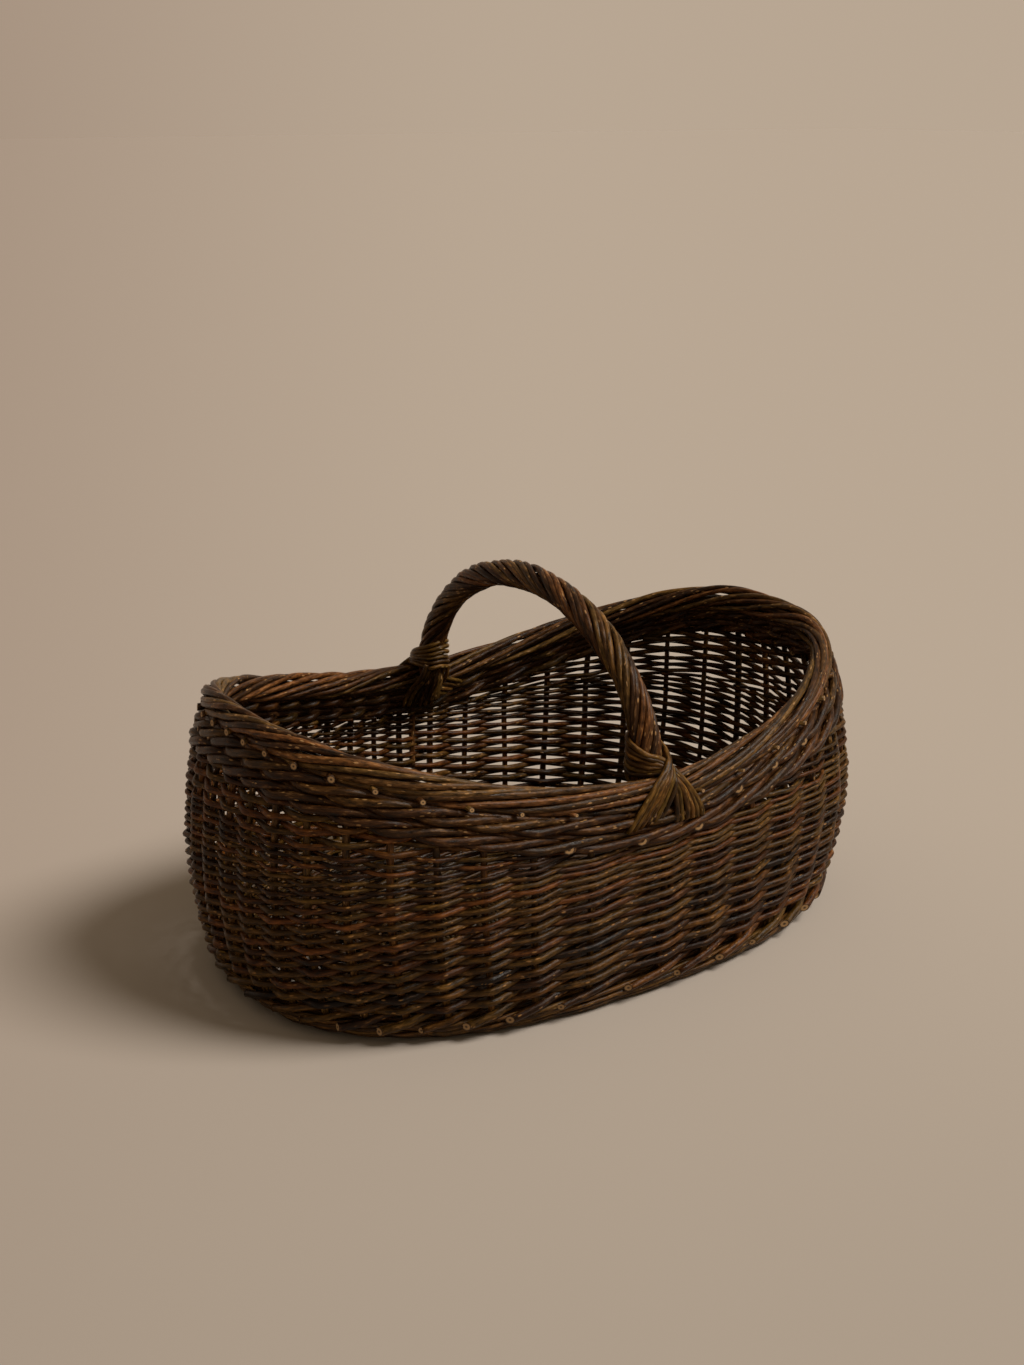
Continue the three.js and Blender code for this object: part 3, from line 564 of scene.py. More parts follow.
tan_bark = bark_material(
    "tan bark", deep=(0.036, 0.016, 0.004), warm=(0.102, 0.044, 0.009),
    moss=(0.076, 0.042, 0.008), pale=(0.22, 0.125, 0.04))
foot_dice = random.Random(5)
foot_rods = []
for level, (height, offset) in enumerate(FOOT_ROUNDS):
    for strand in (0, 1):
        places = np.linspace(0, STAKES + FOOT_LAP, STAKES * FOOT_STEPS) + foot_dice.uniform(0, STAKES)
        twist = np.pi * places + np.pi * strand
        heights = height + FOOT_TWIST_UP * np.sin(twist)
        heights += FOOT_SWAY[0] * np.sin(places * FOOT_SWAY[1] + level)
        route = wall_at(places, np.maximum(heights, FOOT_LOWEST), offset + FOOT_TWIST_OUT * np.cos(twist))
        radii = FOOT_RADIUS * (1 + FOOT_UNEVEN[0] * np.sin(places * FOOT_UNEVEN[1] + strand))
        foot_rods.append((route, radii, own_tone(foot_dice)))
lay_rods("foot_rods", foot_rods, (tan_bark, cut_wood), ("foot_ring",), sides=6)


# The stakes are stout brown rods driven in beside the base sticks and bent up. At the top each one
# bends to the right and rolls round its neighbours into the border, and its cut end comes out below.
# A few hidden rods run round inside the roll and behind the wale and fill them.
RIM_SWEEP = 1.6
STAKE_RADIUS = 0.003
STAKE_UNEVEN = (0.84, 1.14)
STAKE_KNOBS = (0.04, 60)
STAKE_HEEL = ((-0.016, 0.0098), (-0.006, 0.01))
STAKE_LOW = 0.0165
STAKE_HIGH = 0.017
STAKE_POINTS = 9
STAKE_LEAN = 0.03
STAKE_WAVES = 40
STAKE_STEPS = 3
ANY_PHASE = 6.28
BORDER_RADIUS = 0.0026
BORDER_THINNING = 0.9
BORDER_THIN_FROM = 0.93
BORDER_CORE = (0.0066, 0.0094)
BORDER_OFFSET = 0.002
BORDER_SINK = 0.0024
BORDER_SPACES = 10
BORDER_STEPS = 6
BORDER_FIRST_STEP = 2
BORDER_LEAD = 0.2
BORDER_SWAY = 0.2
BORDER_RIPPLE = (0.1, 1.4)
BORDER_SWELL = (0.0005, 2.1)
BORDER_TAIL = 0.55
BORDER_TAIL_RUN = 0.15
BORDER_DROP = 0.009
BORDER_NEAR = 0.003
BORDER_REACH = 0.0097
BORDER_END_RADIUS = 0.0014
BORDER_FILLERS = ((-0.004, 0.002), (-0.015, 0.0005), (-0.021, 0.0005), (-0.0275, 0.0005))
FILLER_RADIUS = 0.0036
FILLER_TONE = (0.3, 0.3)
FILLER_LAP = 0.4
FILLER_STEPS = 4
CUT_LEAN = 0.9
STAKE_CUT_RISE = 0.15

brown_bark = bark_material(
    "brown bark", deep=(0.026, 0.0112, 0.004), warm=(0.152, 0.058, 0.016),
    moss=(0.108, 0.056, 0.013), pale=(0.4, 0.225, 0.092))


def end_lift(place):
    return np.abs(plan_at(place)[0]) ** RIM_SWEEP


def rim_at(place):
    return RIM_MIDDLE + (RIM_END - RIM_MIDDLE) * end_lift(place)


def cut_face(place, rise):
    """The lean of a cut end that faces out of the wall and a little up."""
    return np.array([*map(float, outward_at(place)), rise]) * CUT_LEAN


stake_dice = random.Random(11)
stake_rods = []
for stake in range(STAKES):
    lean = stake_dice.uniform(-STAKE_LEAN, STAKE_LEAN)
    phase = stake_dice.uniform(0, ANY_PHASE)
    heel = [wall_at(stake, height, reach) for reach, height in STAKE_HEEL]
    heights = np.linspace(STAKE_LOW, rim_at(stake) - STAKE_HIGH, STAKE_POINTS)
    upright = wall_at(stake + lean * np.sin(heights * STAKE_WAVES), heights)
    steps = np.arange(BORDER_FIRST_STEP, BORDER_SPACES * BORDER_STEPS + 1) / BORDER_STEPS
    places = stake + BORDER_LEAD + steps
    turn = -np.pi / 2 + 2 * np.pi * steps / BORDER_SPACES
    turn += stake_dice.uniform(-BORDER_SWAY, BORDER_SWAY) * np.sin(np.pi * steps / BORDER_SPACES)
    turn += BORDER_RIPPLE[0] * np.sin(steps * BORDER_RIPPLE[1] + phase)
    swell = BORDER_SWELL[0] * np.sin(steps * BORDER_SWELL[1] + phase)
    roll = wall_at(places, rim_at(places), BORDER_OFFSET + (BORDER_CORE[0] + swell) * np.cos(turn))
    roll[:, 2] += (BORDER_CORE[1] + swell) * np.sin(turn) - BORDER_SINK
    last = stake + BORDER_LEAD + BORDER_SPACES + BORDER_TAIL
    before = last - BORDER_TAIL_RUN
    tail = [
        wall_at(before, rim_at(before) - BORDER_DROP, BORDER_NEAR),
        wall_at(last, rim_at(last) - BORDER_DROP, BORDER_REACH)]
    points = np.concatenate([heel, upright, roll, tail])
    route = smooth_route(points, STAKE_STEPS)
    fade = np.linspace(0, 1, len(route))
    bent = (len(heel) + len(upright)) / len(points)
    end_radius = BORDER_END_RADIUS * (1 + float(end_lift(last)))
    radii = np.interp(
        fade, (0, bent, BORDER_THIN_FROM, 1),
        (STAKE_RADIUS, BORDER_RADIUS, BORDER_THINNING * BORDER_RADIUS, end_radius))
    radii = radii * stake_dice.uniform(*STAKE_UNEVEN)
    radii *= 1 + STAKE_KNOBS[0] * np.sin(fade * STAKE_KNOBS[1] + stake)
    stake_rods.append((route, radii, own_tone(stake_dice), (0, 0, 0), cut_face(last, STAKE_CUT_RISE)))
for height, offset in BORDER_FILLERS:
    places = np.linspace(0, STAKES + FILLER_LAP, STAKES * FILLER_STEPS)
    route = wall_at(places, rim_at(places) + height, offset)
    stake_rods.append((route, np.full(len(route), FILLER_RADIUS), FILLER_TONE))
stake_nodes = [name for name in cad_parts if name.startswith("stake_")]
lay_rods("stakes_and_border", stake_rods, (brown_bark, cut_wood), stake_nodes)


# The siding is French randing: one rod from each space, in front of one stake and behind the next.
# Each butt starts low outside with its cut end showing, and the rods climb to the right as they taper,
# so that the rows lie closer and closer towards the top.
SIDING_LAYERS = 28
SIDING_MORE_LAYERS = (0.8, 1.2)
SIDING_FOOT = 0.0185
SIDING_TOP_MIDDLE = 0.1285
SIDING_END_RISE = 0.006
SIDING_TIGHTENING = 0.28
SIDING_END_EASE = 0.42
SIDING_POWER = 3.0
SIDING_BUTT_RADIUS = 0.003
SIDING_TIP_RADIUS = 0.0015
SIDING_TAPER = 1.4
SIDING_UNEVEN = (0.9, 1.1)
SIDING_KNOBS = 0.08
SIDING_FULLNESS = 0.035
SIDING_BITE = 0.0004
SIDING_LEAD = 0.62
SIDING_LEAD_PLAY = 0.12
SIDING_BUTT_DROP = 0.0048
SIDING_BUTT_RUN = 0.35
SIDING_BUTT_OUT = 0.0022
SIDING_TIP_TUCK = (0.007, 0.6)
SIDING_CUT_RISE = 0.3
SIDING_DRIFT = (0.0005, 1.3)
SIDING_KINK = 0.0005
SIDING_KINK_RUN = 0.6
SIDING_DARKNESS = 1.3
STROKE_STEPS = (0.0, 0.06, 0.16, 0.33, 0.5, 0.67, 0.84, 0.94)
STROKE_ROOM = 0.02
WAVE_BEND = 0.985

red_bark = bark_material(
    "red bark", deep=(0.011, 0.0044, 0.0012), warm=(0.106, 0.033, 0.0056),
    moss=(0.068, 0.033, 0.0048), pale=(0.28, 0.14, 0.044))


def layer_height(place, layer):
    """How high a layer of siding lies at a place. The layers tighten upwards, and less so at the ends."""
    share = layer / SIDING_LAYERS
    bunch = share * np.abs(share) ** (SIDING_POWER - 1)
    tightening = SIDING_TIGHTENING * (1 - SIDING_END_EASE * end_lift(place))
    rise = (1 + tightening) * share - tightening * bunch
    top = SIDING_TOP_MIDDLE + SIDING_END_RISE * end_lift(place)
    return SIDING_FOOT + (top - SIDING_FOOT) * rise


def rod_wave(run):
    """In and out round the stakes, with a sharper bend at each than a plain wave has."""
    return np.arcsin(WAVE_BEND * np.cos(np.pi * run)) / math.asin(WAVE_BEND)


def wander(dice, run, size):
    knots = np.arange(math.floor(run[0]), math.ceil(run[-1]) + 1.0, SIDING_KINK_RUN)
    return np.interp(run, knots, [dice.uniform(-size, size) for _ in knots])


def tip_tuck(rest, depth, run):
    """How far a rod's tip is pushed in behind the wall, with so much of the rod left."""
    return depth * np.clip(run - rest, 0, 1)


siding_dice = random.Random(17)
siding_rods = []
for rod in range(STAKES):
    strokes = SIDING_LAYERS + siding_dice.uniform(*SIDING_MORE_LAYERS)
    lead = SIDING_LEAD + siding_dice.uniform(-SIDING_LEAD_PLAY, SIDING_LEAD_PLAY)
    layers = np.add.outer(np.arange(-1, SIDING_LAYERS + 2), STROKE_STEPS).ravel()
    layers = layers[(layers > STROKE_ROOM - lead) & (layers < strokes - STROKE_ROOM)]
    layers = np.concatenate([[-lead], layers, [strokes]])
    places = rod + layers
    drift = siding_dice.uniform(0, ANY_PHASE)
    heights = layer_height(places, layers + 0.5) + SIDING_DRIFT[0] * np.sin(layers * SIDING_DRIFT[1] + drift)
    heights += wander(siding_dice, layers, SIDING_KINK)
    heights -= SIDING_BUTT_DROP * np.clip(SIDING_BUTT_RUN - layers, 0, 1)
    fade = (layers + lead) / (strokes + lead)
    radii = SIDING_BUTT_RADIUS + (SIDING_TIP_RADIUS - SIDING_BUTT_RADIUS) * fade ** SIDING_TAPER
    radii = radii * siding_dice.uniform(*SIDING_UNEVEN) * (1 + wander(siding_dice, layers, SIDING_KNOBS))
    radii *= 1 - SIDING_FULLNESS * plan_at(places)[1]
    reach = STAKE_RADIUS + radii - SIDING_BITE
    swing = reach * rod_wave(layers)
    swing = np.where(layers < 0, reach + SIDING_BUTT_OUT * np.clip(-layers / lead, 0, 1), swing)
    swing -= tip_tuck(strokes - layers, *SIDING_TIP_TUCK)
    swing += wander(siding_dice, layers, 0.5 * SIDING_KINK)
    route = wall_at(places, heights, swing)
    tone = (siding_dice.random() ** SIDING_DARKNESS, siding_dice.random())
    siding_rods.append((route, radii, tone, cut_face(places[0], SIDING_CUT_RISE)))
siding_nodes = ("siding_weaver_01", "siding_weaver_02")
lay_rods("siding_rods", siding_rods, (red_bark, cut_wood), siding_nodes)


# Packing: short rows of rods woven to and fro round each end only, which build up the raised ends.
# The first rows are fine, the rest are thicker with wider gaps, and the wale closes over their ends.
# Each end has its middle, how many of its rows are fine, and their pitch and radius.
PACKING_ENDS = ((0.0, 4, 0.0033, 0.0019), (0.5, 4, 0.0029, 0.0018))
PACKING_COARSE_PITCH = 0.0051
PACKING_COARSE_RADIUS = 0.0026
PACKING_UNEVEN = (0.9, 1.08)
PACKING_BED = SIDING_LAYERS + 1.5
PACKING_START = 0.0034
PACKING_ROWS = 16
PACKING_SPAN = 0.235
PACKING_CEILING = 0.0368
PACKING_EDGE = 0.3
PACKING_STEPS = 8
PACKING_SHORTEST = 8
PACKING_SWING = 0.0049
PACKING_SWAY = (0.0006, 2, 3)
PACKING_TIP_TUCK = (0.006, 0.6)


def place_of(share):
    return float(np.interp(share % 1, shares, tally) + STAKES * math.floor(share))


packing_dice = random.Random(23)
packing_rods = []
for middle, fine_rows, fine_pitch, fine_radius in PACKING_ENDS:
    first, last = place_of(middle - PACKING_SPAN), place_of(middle + PACKING_SPAN)
    for row in range(PACKING_ROWS):
        places = np.linspace(first, last, int((last - first) * PACKING_STEPS))
        room = rim_at(places) - PACKING_CEILING - layer_height(places, PACKING_BED)
        coarse_rows = max(row - fine_rows, 0)
        level = PACKING_START + (row - coarse_rows) * fine_pitch + coarse_rows * PACKING_COARSE_PITCH
        places = places[room > level - PACKING_EDGE * fine_pitch]
        if len(places) < PACKING_SHORTEST:
            continue
        sway = PACKING_SWAY[0] * np.sin(places * PACKING_SWAY[1] + PACKING_SWAY[2] * row)
        heights = layer_height(places, PACKING_BED) + level + sway
        rest = np.minimum(places - places[0], places[-1] - places)
        swing = PACKING_SWING * rod_wave(places + row) - tip_tuck(rest, *PACKING_TIP_TUCK)
        route = wall_at(places, heights, swing)
        radius = PACKING_COARSE_RADIUS if coarse_rows else fine_radius
        radii = np.full(len(places), radius * packing_dice.uniform(*PACKING_UNEVEN))
        packing_rods.append((route, radii, own_tone(packing_dice)))
lay_rods("packing_rods", packing_rods, (red_bark, cut_wood), ())


# The top wale is two rounds of three-rod waling in thick rods under the border. Each rod passes
# in front of two stakes, rising as it goes, then behind one, and the butts of new rods show outside.
WALE_RADIUS = 0.0033
WALE_TAPER = (1.1, 0.22)
WALE_UNEVEN = (0.92, 1.08)
WALE_PITCH = 0.0066
WALE_LOW = 0.0353
WALE_SWING = 0.0058
WALE_SWAY = (0.0005, 1.9)
WALE_RODS = 3
WALE_RUN = STAKES // WALE_RODS
WALE_LAP = 2
WALE_BUTT = (-0.42, 0.3, 1.45)
WALE_STEPS = ((0.5, -1.0), (0.05, 0.1), (0.0, 1.0), (0.5, 1.12), (1.0, 1.0), (0.95, 0.1))
WALE_SMOOTHING = 4
WALE_TIP_TUCK = (0.006, 0.7)
WALE_CUT_RISE = 0.2
# How far the wale rods lean to the deep colour: painted shadow of the border
WALE_PAINTED_SHADE = 0.85

# The wale's bark is its own reddish colour, darkened as a painted shadow of the border above it
shaded_wale_bark = bark_material(
    "wale bark", deep=(0.015, 0.006, 0.0018), warm=(0.073, 0.0255, 0.0054),
    moss=(0.052, 0.0265, 0.0049), pale=(0.31, 0.17, 0.062))
wale_dice = random.Random(29)
wale_rods = []
for level in (0, 1):
    for strand in range(WALE_RODS):
        for run in range(WALE_RODS):
            first = WALE_RODS * (level + 1) + strand + WALE_RUN * run
            knots = [(first + WALE_BUTT[0], *WALE_BUTT[1:])]
            for half in range(2 * (WALE_RUN + WALE_LAP)):
                knots.append((first + half / 2, *WALE_STEPS[half % len(WALE_STEPS)]))
            places, rises, swings = smooth_route(knots, WALE_SMOOTHING).T
            heights = rim_at(places) - WALE_LOW + WALE_PITCH * (2 * level + rises)
            heights += WALE_SWAY[0] * np.sin(places * WALE_SWAY[1] + strand)
            offsets = WALE_SWING * swings - tip_tuck(places[-1] - places, *WALE_TIP_TUCK)
            route = wall_at(places, heights, offsets)
            fade = np.linspace(0, 1, len(route))
            radii = WALE_RADIUS * (WALE_TAPER[0] - WALE_TAPER[1] * fade) * wale_dice.uniform(*WALE_UNEVEN)
            # Each rod's tone leans towards the deep colour: painted shadow under the border
            tone = (WALE_PAINTED_SHADE * wale_dice.random(), wale_dice.random())
            wale_rods.append((route, radii, tone, cut_face(places[0], WALE_CUT_RISE)))
wale_nodes = [f"top_wale_{rod:02d}" for rod in (1, 2, 3)]
lay_rods("top_wale", wale_rods, (shaded_wale_bark, cut_wood), wale_nodes)


# The handle bow is one stout rod sprung across the middle, its slyped legs pushed down into the wall
# beside a stake on each long side. The roping hides it above the border.
BOW_RADIUS = 0.0052
BOW_LEG_RADIUS = 0.0027
BOW_LEG_LOW = 0.075
BOW_LEG_HIGH = 0.022
BOW_LEG_POINTS = 6
BOW_LEG_SHARE = 0.0042
BOW_SLYPE = 0.02
BOW_SMOOTHING = 2
BOW_TONE = (0.5, 0.2)
BACK_MIDDLE = 0.25
HANDLE_TOP = 0.293
HANDLE_ARCH_POWER = (0.94, 1.04)
HANDLE_INSET = 0.0121
HANDLE_TUCK = 0.005
HANDLE_TUCK_RISE = 0.03
ARCH_STEPS = 60

handle_half = RIM_HALF[1] - HANDLE_INSET


def arch_at(turn):
    """The handle's middle line, from the front foot (0) over the top to the back foot (pi)."""
    power = np.where(turn < np.pi / 2, *HANDLE_ARCH_POWER)
    rise = (HANDLE_TOP - RIM_MIDDLE) * np.sin(turn) ** power
    tuck = HANDLE_TUCK * np.clip(1 - rise / HANDLE_TUCK_RISE, 0, 1) ** 2
    return np.stack([0 * turn, -(handle_half - tuck) * np.cos(turn), RIM_MIDDLE + rise], axis=-1)


arch = arch_at(np.linspace(0, np.pi, ARCH_STEPS + 1))
leg_heights = np.linspace(BOW_LEG_LOW, RIM_MIDDLE - BOW_LEG_HIGH, BOW_LEG_POINTS)
front_leg = wall_at(place_of(FRONT_MIDDLE + BOW_LEG_SHARE), leg_heights)
back_leg = wall_at(place_of(BACK_MIDDLE + BOW_LEG_SHARE), leg_heights)
bow_route = smooth_route(np.concatenate([front_leg, arch, back_leg[::-1]]), BOW_SMOOTHING)
bow_radii = np.interp(
    bow_route[:, 2], (RIM_MIDDLE - BOW_SLYPE, RIM_MIDDLE), (BOW_LEG_RADIUS, BOW_RADIUS))
lay_rods(
    "handle_bow_rod", [(bow_route, bow_radii, BOW_TONE)], (brown_bark, cut_wood), ("handle_bow",),
    sides=10)


# Long thin rods are roped round the bow with a slow lay, side by side, from one foot to the other.
# Below the lashings their ends close in and run down beside the leg inside the border.
ROPE_STRANDS = 12
ROPE_NODES = 6
ROPE_RADIUS = 0.0025
ROPE_UNEVEN = (0.86, 1.08)
ROPE_REACH = 0.0087
ROPE_SWELL = (0.0005, 31)
ROPE_LAY = 0.14
ROPE_SWAY = (0.12, 24, 2.3)
ROPE_BELOW = 0.02
ROPE_BELOW_STEPS = 8
ROPE_SLANT = 0.1
ROPE_POINTS = 170
ROPE_CLOSING = ((-ROPE_BELOW, 0.004), (0.55, 1))

rope_dice = random.Random(31)
below = np.linspace(-ROPE_BELOW, 0, ROPE_BELOW_STEPS + 1)[:-1]
rope_front = arch[0] + np.stack([0 * below, ROPE_SLANT * below, below], axis=-1)
rope_path = np.concatenate([rope_front, arch, (rope_front * (1, -1, 1))[::-1]])
rope_run = np.concatenate([[0], np.cumsum(np.linalg.norm(np.diff(rope_path, axis=0), axis=1))])
rope_fine = np.linspace(0, rope_run[-1], ROPE_POINTS)
rope_core = np.stack([np.interp(rope_fine, rope_run, rope_path[:, axis]) for axis in range(3)], axis=-1)
rope_heading = np.gradient(rope_core, axis=0)
rope_heading /= np.linalg.norm(rope_heading, axis=1)[:, None]
rope_side = np.tile((1.0, 0.0, 0.0), (len(rope_core), 1))
rope_up = np.cross(rope_heading, rope_side)
rope_close = np.interp(rope_core[:, 2] - RIM_MIDDLE, *ROPE_CLOSING)
rope_rods = []
for strand in range(ROPE_STRANDS):
    sway = ROPE_SWAY[0] * np.sin(rope_fine * ROPE_SWAY[1] + strand * ROPE_SWAY[2])
    swing = 2 * np.pi * (strand / ROPE_STRANDS + rope_fine / ROPE_LAY) + sway
    reach = (ROPE_REACH + ROPE_SWELL[0] * np.sin(rope_fine * ROPE_SWELL[1] + strand)) * rope_close
    round_core = np.cos(swing)[:, None] * rope_side + np.sin(swing)[:, None] * rope_up
    route = rope_core + reach[:, None] * round_core
    radii = ROPE_RADIUS * rope_dice.uniform(*ROPE_UNEVEN) * rope_close
    rope_rods.append((route, radii, own_tone(rope_dice)))
rope_nodes = [f"handle_rope_{rod:02d}" for rod in range(1, ROPE_NODES + 1)]
lay_rods("handle_roping", rope_rods, (brown_bark, cut_wood), rope_nodes)


# A lashing holds each handle foot: six olive rods side by side, each tucked in under the border outside,
# up across the foot, once round the handle as a collar, and down over the border the other way.
# The first and the last rod's points are across, out from the rim and up from it.
LASH_RODS = 6
LASH_RADIUS = 0.002
LASH_UNEVEN = (0.92, 1.1)
LASH_PLAY = 0.0006
LASH_STEPS = 7
LASH_INNER = (
    (-0.005, 0.0085, -0.023), (-0.004, 0.0125, -0.016), (0.003, 0.0135, 0.0), (0.008, 0.0095, 0.0095),
    (0.0125, -0.006, 0.014), (0.0095, -0.0265, 0.0145), (0.0, -0.03, 0.015),
    (-0.0095, -0.0265, 0.012), (-0.013, -0.0165, 0.0085), (-0.006, -0.006, 0.0095),
    (0.002, 0.0015, 0.01), (0.006, 0.012, 0.002), (0.007, 0.0135, -0.012), (0.0085, 0.013, -0.0255))
LASH_OUTER = (
    (-0.036, 0.0085, -0.025), (-0.033, 0.0125, -0.018), (-0.0145, 0.012, 0.0045), (0.005, 0.004, 0.0185),
    (0.0125, -0.009, 0.026), (0.0095, -0.026, 0.034), (0.0, -0.03, 0.0365),
    (-0.0095, -0.026, 0.0355), (-0.0132, -0.0165, 0.032), (-0.006, -0.0055, 0.0255),
    (0.006, -0.0015, 0.02), (0.019, 0.012, 0.003), (0.031, 0.014, -0.017), (0.0335, 0.013, -0.0265))

olive_bark = bark_material(
    "olive bark", deep=(0.038, 0.0175, 0.004), warm=(0.138, 0.06, 0.012),
    moss=(0.108, 0.057, 0.01), pale=(0.28, 0.165, 0.045))
lash_dice = random.Random(37)


def at_foot(side, points):
    """Such points in the frame, at the front foot (-1) or the back one (1)."""
    across, out, up = np.asarray(points, float).T
    return np.stack([-side * across, side * (RIM_HALF[1] + out), RIM_MIDDLE + up], axis=-1)


def side_by_side(first, last, count):
    """The points of each of so many rods, from the first rod's to the last one's."""
    for share in np.arange(count) / (count - 1):
        yield np.array(first) * (1 - share) + np.array(last) * share


for side, end in ((-1, "front"), (1, "back")):
    lash_rods = []
    for points in side_by_side(LASH_INNER, LASH_OUTER, LASH_RODS):
        points[1:-1] += [[lash_dice.uniform(-LASH_PLAY, LASH_PLAY) for _ in range(3)] for _ in points[1:-1]]
        route = smooth_route(at_foot(side, points), LASH_STEPS)
        radii = np.full(len(route), LASH_RADIUS * lash_dice.uniform(*LASH_UNEVEN))
        lash_rods.append((route, radii, own_tone(lash_dice), (0, 0, 0), (0, side * CUT_LEAN, 0)))
    lash_nodes = (f"handle_collar_{end}", f"handle_tail_{end}")
    lay_rods(f"handle_lashing_{end}", lash_rods, (olive_bark, cut_wood), lash_nodes)


# Inside each foot the rods' ends fan down over the border and tuck into the wall, and a few short rods
# beside them bind the fan to the wale. Each group has its first rod, its last and how many there are.
BAND_RADIUS = 0.0019
BAND_UNEVEN = (0.9, 1.08)
BAND_STEPS = 6
BAND_FAN = (
    ((0.0115, -0.0262, 0.017), (0.015, -0.0235, 0.006), (0.0215, -0.0115, -0.011), (0.026, -0.0075, -0.024)),
    ((-0.0105, -0.0262, 0.013), (-0.01, -0.0235, 0.002), (-0.006, -0.013, -0.014), (-0.003, -0.008, -0.028)),
    6)
BAND_BINDERS = (
    ((-0.004, -0.015, -0.001), (-0.014, -0.0125, -0.0035), (-0.027, -0.0095, -0.0085),
     (-0.037, -0.006, -0.013)),
    ((0.0, -0.014, -0.015), (-0.007, -0.0125, -0.0165), (-0.014, -0.01, -0.0185), (-0.021, -0.006, -0.02)),
    4)

for side, end in ((-1, "front"), (1, "back")):
    band_rods = []
    for group in (BAND_FAN, BAND_BINDERS):
        for points in side_by_side(*group):
            route = smooth_route(at_foot(side, points), BAND_STEPS)
            radii = np.full(len(route), BAND_RADIUS * lash_dice.uniform(*BAND_UNEVEN))
            band_rods.append((route, radii, own_tone(lash_dice)))
    band_nodes = (f"handle_band_{end}",)
    lay_rods(f"handle_band_rods_{end}", band_rods, (olive_bark, cut_wood), band_nodes)


# Studio floor: a pale beige sweep that is floor and backdrop in one. It is a little darker to the left
# and towards the front: painted shade for the light's fall-off across the floor.
SWEEP_LEFT = (0.357, 0.294, 0.258)
SWEEP_RIGHT = (0.49, 0.437, 0.39)
SWEEP_RISE = (-1.0, 0.1)
SWEEP_NEAR = 0.8
SWEEP_FAR = 0.45
SWEEP_ACROSS = (0.822, -0.569, 0)
SWEEP_AWAY = (0.569, 0.822, 0)
SWEEP_FRONT = (-0.75, 0.25)
SWEEP_FRONT_SHADE = 0.84
SWEEP_ROUGHNESS = 0.9
SWEEP_SPECULAR = 0.1
FLOOR_SIZE = 60
FLOOR_DROP = 0.0002


def along_node(tree, spot, place, way):
    node = put(tree, 'ShaderNodeVectorMath', spot, operation='DOT_PRODUCT')
    node.inputs[1].default_value = way
    tree.links.new(place, node.inputs[0])
    return node.outputs["Value"]


def blend_node(tree, spot, value, span, low=0.0):
    node = put(tree, 'ShaderNodeMapRange', spot, interpolation_type='SMOOTHSTEP')
    node.inputs["From Min"].default_value, node.inputs["From Max"].default_value = span
    node.inputs["To Min"].default_value = low
    tree.links.new(value, node.inputs["Value"])
    return node.outputs[0]


def sweep_tone(tree, place, share, left, right, front):
    """The sweep's colour, from left to right for a share across it, and darker towards the front: painted
    shade for the light's fall-off.
    """
    tone = colour_mix(
        tree, (-250, 0), blend_node(tree, (-500, 0), share, SWEEP_RISE), (*left, 1), (*right, 1))
    away = along_node(tree, (-1000, -300), place, SWEEP_AWAY)
    toned = put(tree, 'ShaderNodeVectorMath', (-50, 0), operation='SCALE')
    tree.links.new(tone, toned.inputs[0])
    tree.links.new(blend_node(tree, (-500, -300), away, front, SWEEP_FRONT_SHADE), toned.inputs["Scale"])
    return toned.outputs[0]


bpy.ops.mesh.primitive_plane_add(size=FLOOR_SIZE, location=(0, 0, -FLOOR_DROP))
floor = bpy.context.object
floor.name = "floor"
floor_paint, floor_tree, floor_surface = new_material("beige sweep")
floor_spot = put(floor_tree, 'ShaderNodeTexCoord', (-1200, 0)).outputs["Object"]
floor_far = put(floor_tree, 'ShaderNodeVectorMath', (-1000, -100), operation='LENGTH')
floor_tree.links.new(floor_spot, floor_far.inputs[0])
floor_reach = math_node(floor_tree, 'MULTIPLY', (-850, -100), floor_far.outputs["Value"], SWEEP_FAR)
floor_reach = math_node(floor_tree, 'ADD', (-750, -100), floor_reach, SWEEP_NEAR)
floor_way = along_node(floor_tree, (-1000, 100), floor_spot, SWEEP_ACROSS)
floor_share = math_node(floor_tree, 'DIVIDE', (-650, 100), floor_way, floor_reach)
floor_tone = sweep_tone(floor_tree, floor_spot, floor_share, SWEEP_LEFT, SWEEP_RIGHT, SWEEP_FRONT)
floor_tree.links.new(floor_tone, floor_surface.inputs["Base Color"])
floor_surface.inputs["Roughness"].default_value = SWEEP_ROUGHNESS
floor_surface.inputs["Specular IOR Level"].default_value = SWEEP_SPECULAR
floor.data.materials.append(floor_paint)


# Camera at the photograph's angle: in front of the basket to the left, and well above the rim.
CAMERA_PLACE = (-0.78369, -1.10726, 0.65693)
CAMERA_HEADING = (0.53967, 0.78008, -0.31658)
CAMERA_SENSOR = 36.0
CAMERA_LENS = 46.13

camera_data = bpy.data.cameras.new("camera")
camera_data.sensor_fit = 'VERTICAL'
camera_data.sensor_height = CAMERA_SENSOR
camera_data.lens = CAMERA_LENS
camera = bpy.data.objects.new("camera", camera_data)
scene.collection.objects.link(camera)
camera.location = CAMERA_PLACE
camera.rotation_euler = (
    math.acos(-CAMERA_HEADING[2]), 0, math.atan2(CAMERA_HEADING[1], CAMERA_HEADING[0]) - math.pi / 2)
scene.camera = camera


# Light: a soft key from the upper right, and a warm fill from all round that is stronger from above.
# Past the floor's edge the sweep goes on in the world behind it.
KEY_BEARING = (0.715, -0.699)
KEY_ELEVATION = 52
KEY_SOFTNESS = 24
KEY_ENERGY = 2.81
KEY_COLOUR = (1.0, 0.93, 0.84)
FILL_COLOUR = (1.0, 0.8, 0.56)
FILL_LOW = 0.175
FILL_HIGH = 0.338
SEEN_FRONT = (-0.05, 0.05)
SEEN_LIGHT = (0.983, 0.879, 0.75)

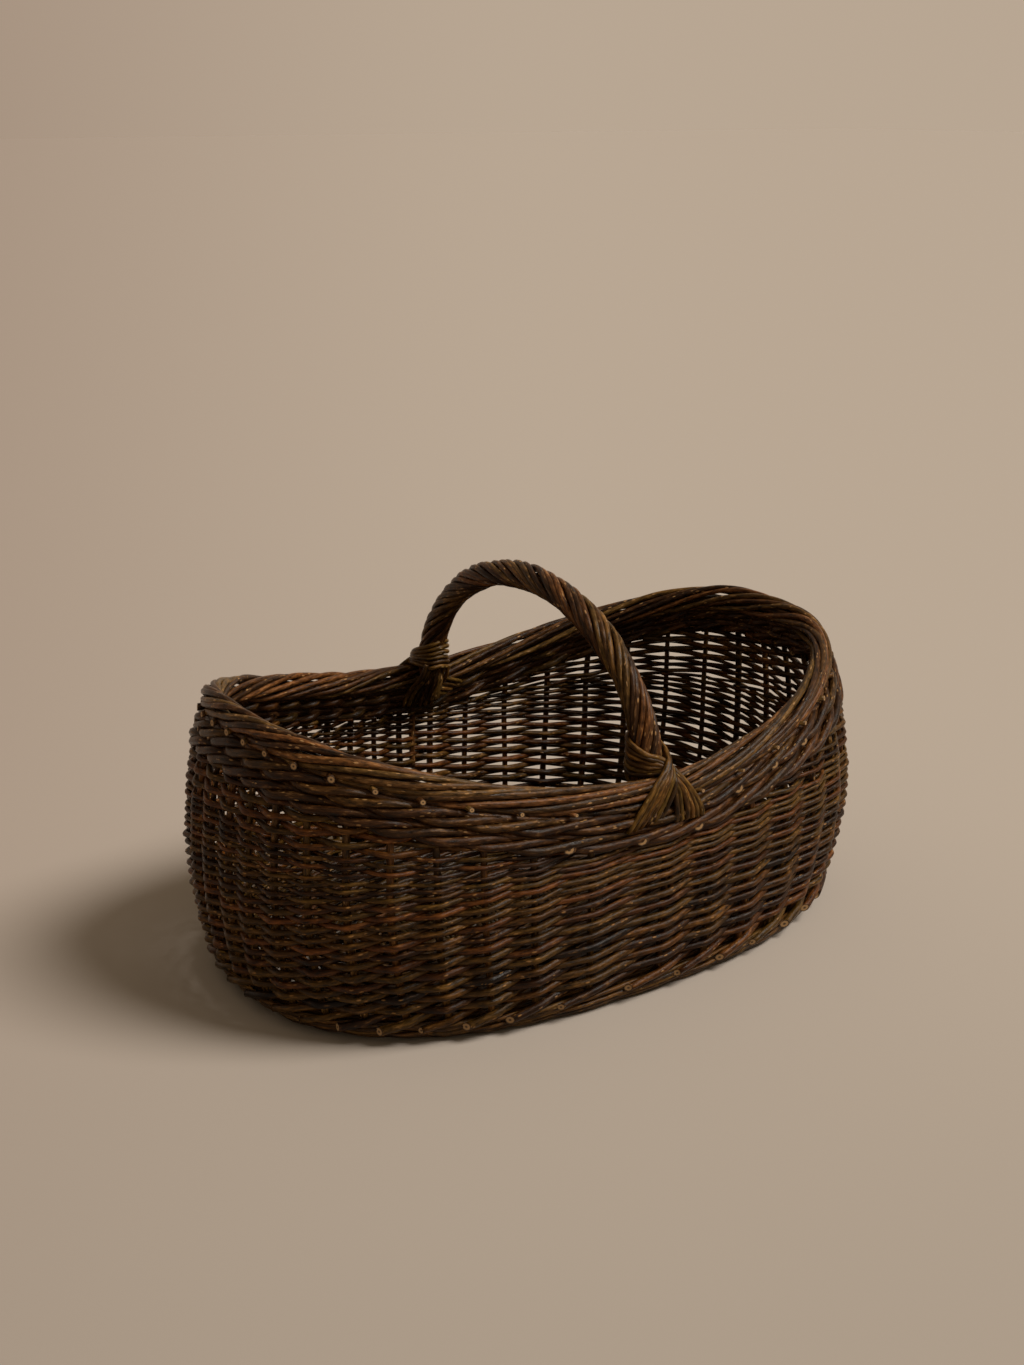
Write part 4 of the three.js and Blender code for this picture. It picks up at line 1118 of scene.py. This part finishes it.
key_light = bpy.data.lights.new("key", 'SUN')
key_light.energy = KEY_ENERGY
key_light.angle = math.radians(KEY_SOFTNESS)
key_light.color = KEY_COLOUR
key = bpy.data.objects.new("key", key_light)
scene.collection.objects.link(key)
key.rotation_euler = (
    math.radians(90 - KEY_ELEVATION), 0, math.atan2(KEY_BEARING[1], KEY_BEARING[0]) + math.pi / 2)
world = bpy.data.worlds.new("studio")
world.use_nodes = True
world_tree = world.node_tree
seen_spot = put(world_tree, 'ShaderNodeTexCoord', (-1200, -200)).outputs["Generated"]
fill = world_tree.nodes["Background"]
fill.inputs[0].default_value = (*FILL_COLOUR, 1)
overhead = put(world_tree, 'ShaderNodeSeparateXYZ', (-850, 100))
world_tree.links.new(seen_spot, overhead.inputs[0])
fill_rise = put(world_tree, 'ShaderNodeMapRange', (-600, 100))
fill_rise.inputs["To Min"].default_value = FILL_LOW
fill_rise.inputs["To Max"].default_value = FILL_HIGH
world_tree.links.new(overhead.outputs["Z"], fill_rise.inputs["Value"])
world_tree.links.new(fill_rise.outputs[0], fill.inputs[1])
seen = put(world_tree, 'ShaderNodeBackground', (100, -200))
# Seen straight on, the world shows the sweep's colours as lit, with the same painted shade to the left and
# front
seen_way = along_node(world_tree, (-1000, -100), seen_spot, SWEEP_ACROSS)
seen_share = math_node(world_tree, 'DIVIDE', (-700, -100), seen_way, SWEEP_FAR)
seen_left, seen_right = (
    tuple(tone * light for tone, light in zip(sweep, SEEN_LIGHT)) for sweep in (SWEEP_LEFT, SWEEP_RIGHT))
seen_tone = sweep_tone(world_tree, seen_spot, seen_share, seen_left, seen_right, SEEN_FRONT)
world_tree.links.new(seen_tone, seen.inputs[0])
rays = put(world_tree, 'ShaderNodeLightPath', (-400, 300)).outputs
plain = math_node(world_tree, 'MAXIMUM', (-200, 300), rays["Is Camera Ray"], rays["Is Glossy Ray"])
plain = math_node(world_tree, 'MAXIMUM', (0, 300), plain, rays["Is Transmission Ray"])
either = put(world_tree, 'ShaderNodeMixShader', (250, 0))
world_tree.links.new(plain, either.inputs[0])
world_tree.links.new(fill.outputs[0], either.inputs[1])
world_tree.links.new(seen.outputs[0], either.inputs[2])
world_tree.links.new(either.outputs[0], world_tree.nodes["World Output"].inputs[0])
scene.world = world
scene.view_settings.view_transform = 'Standard'
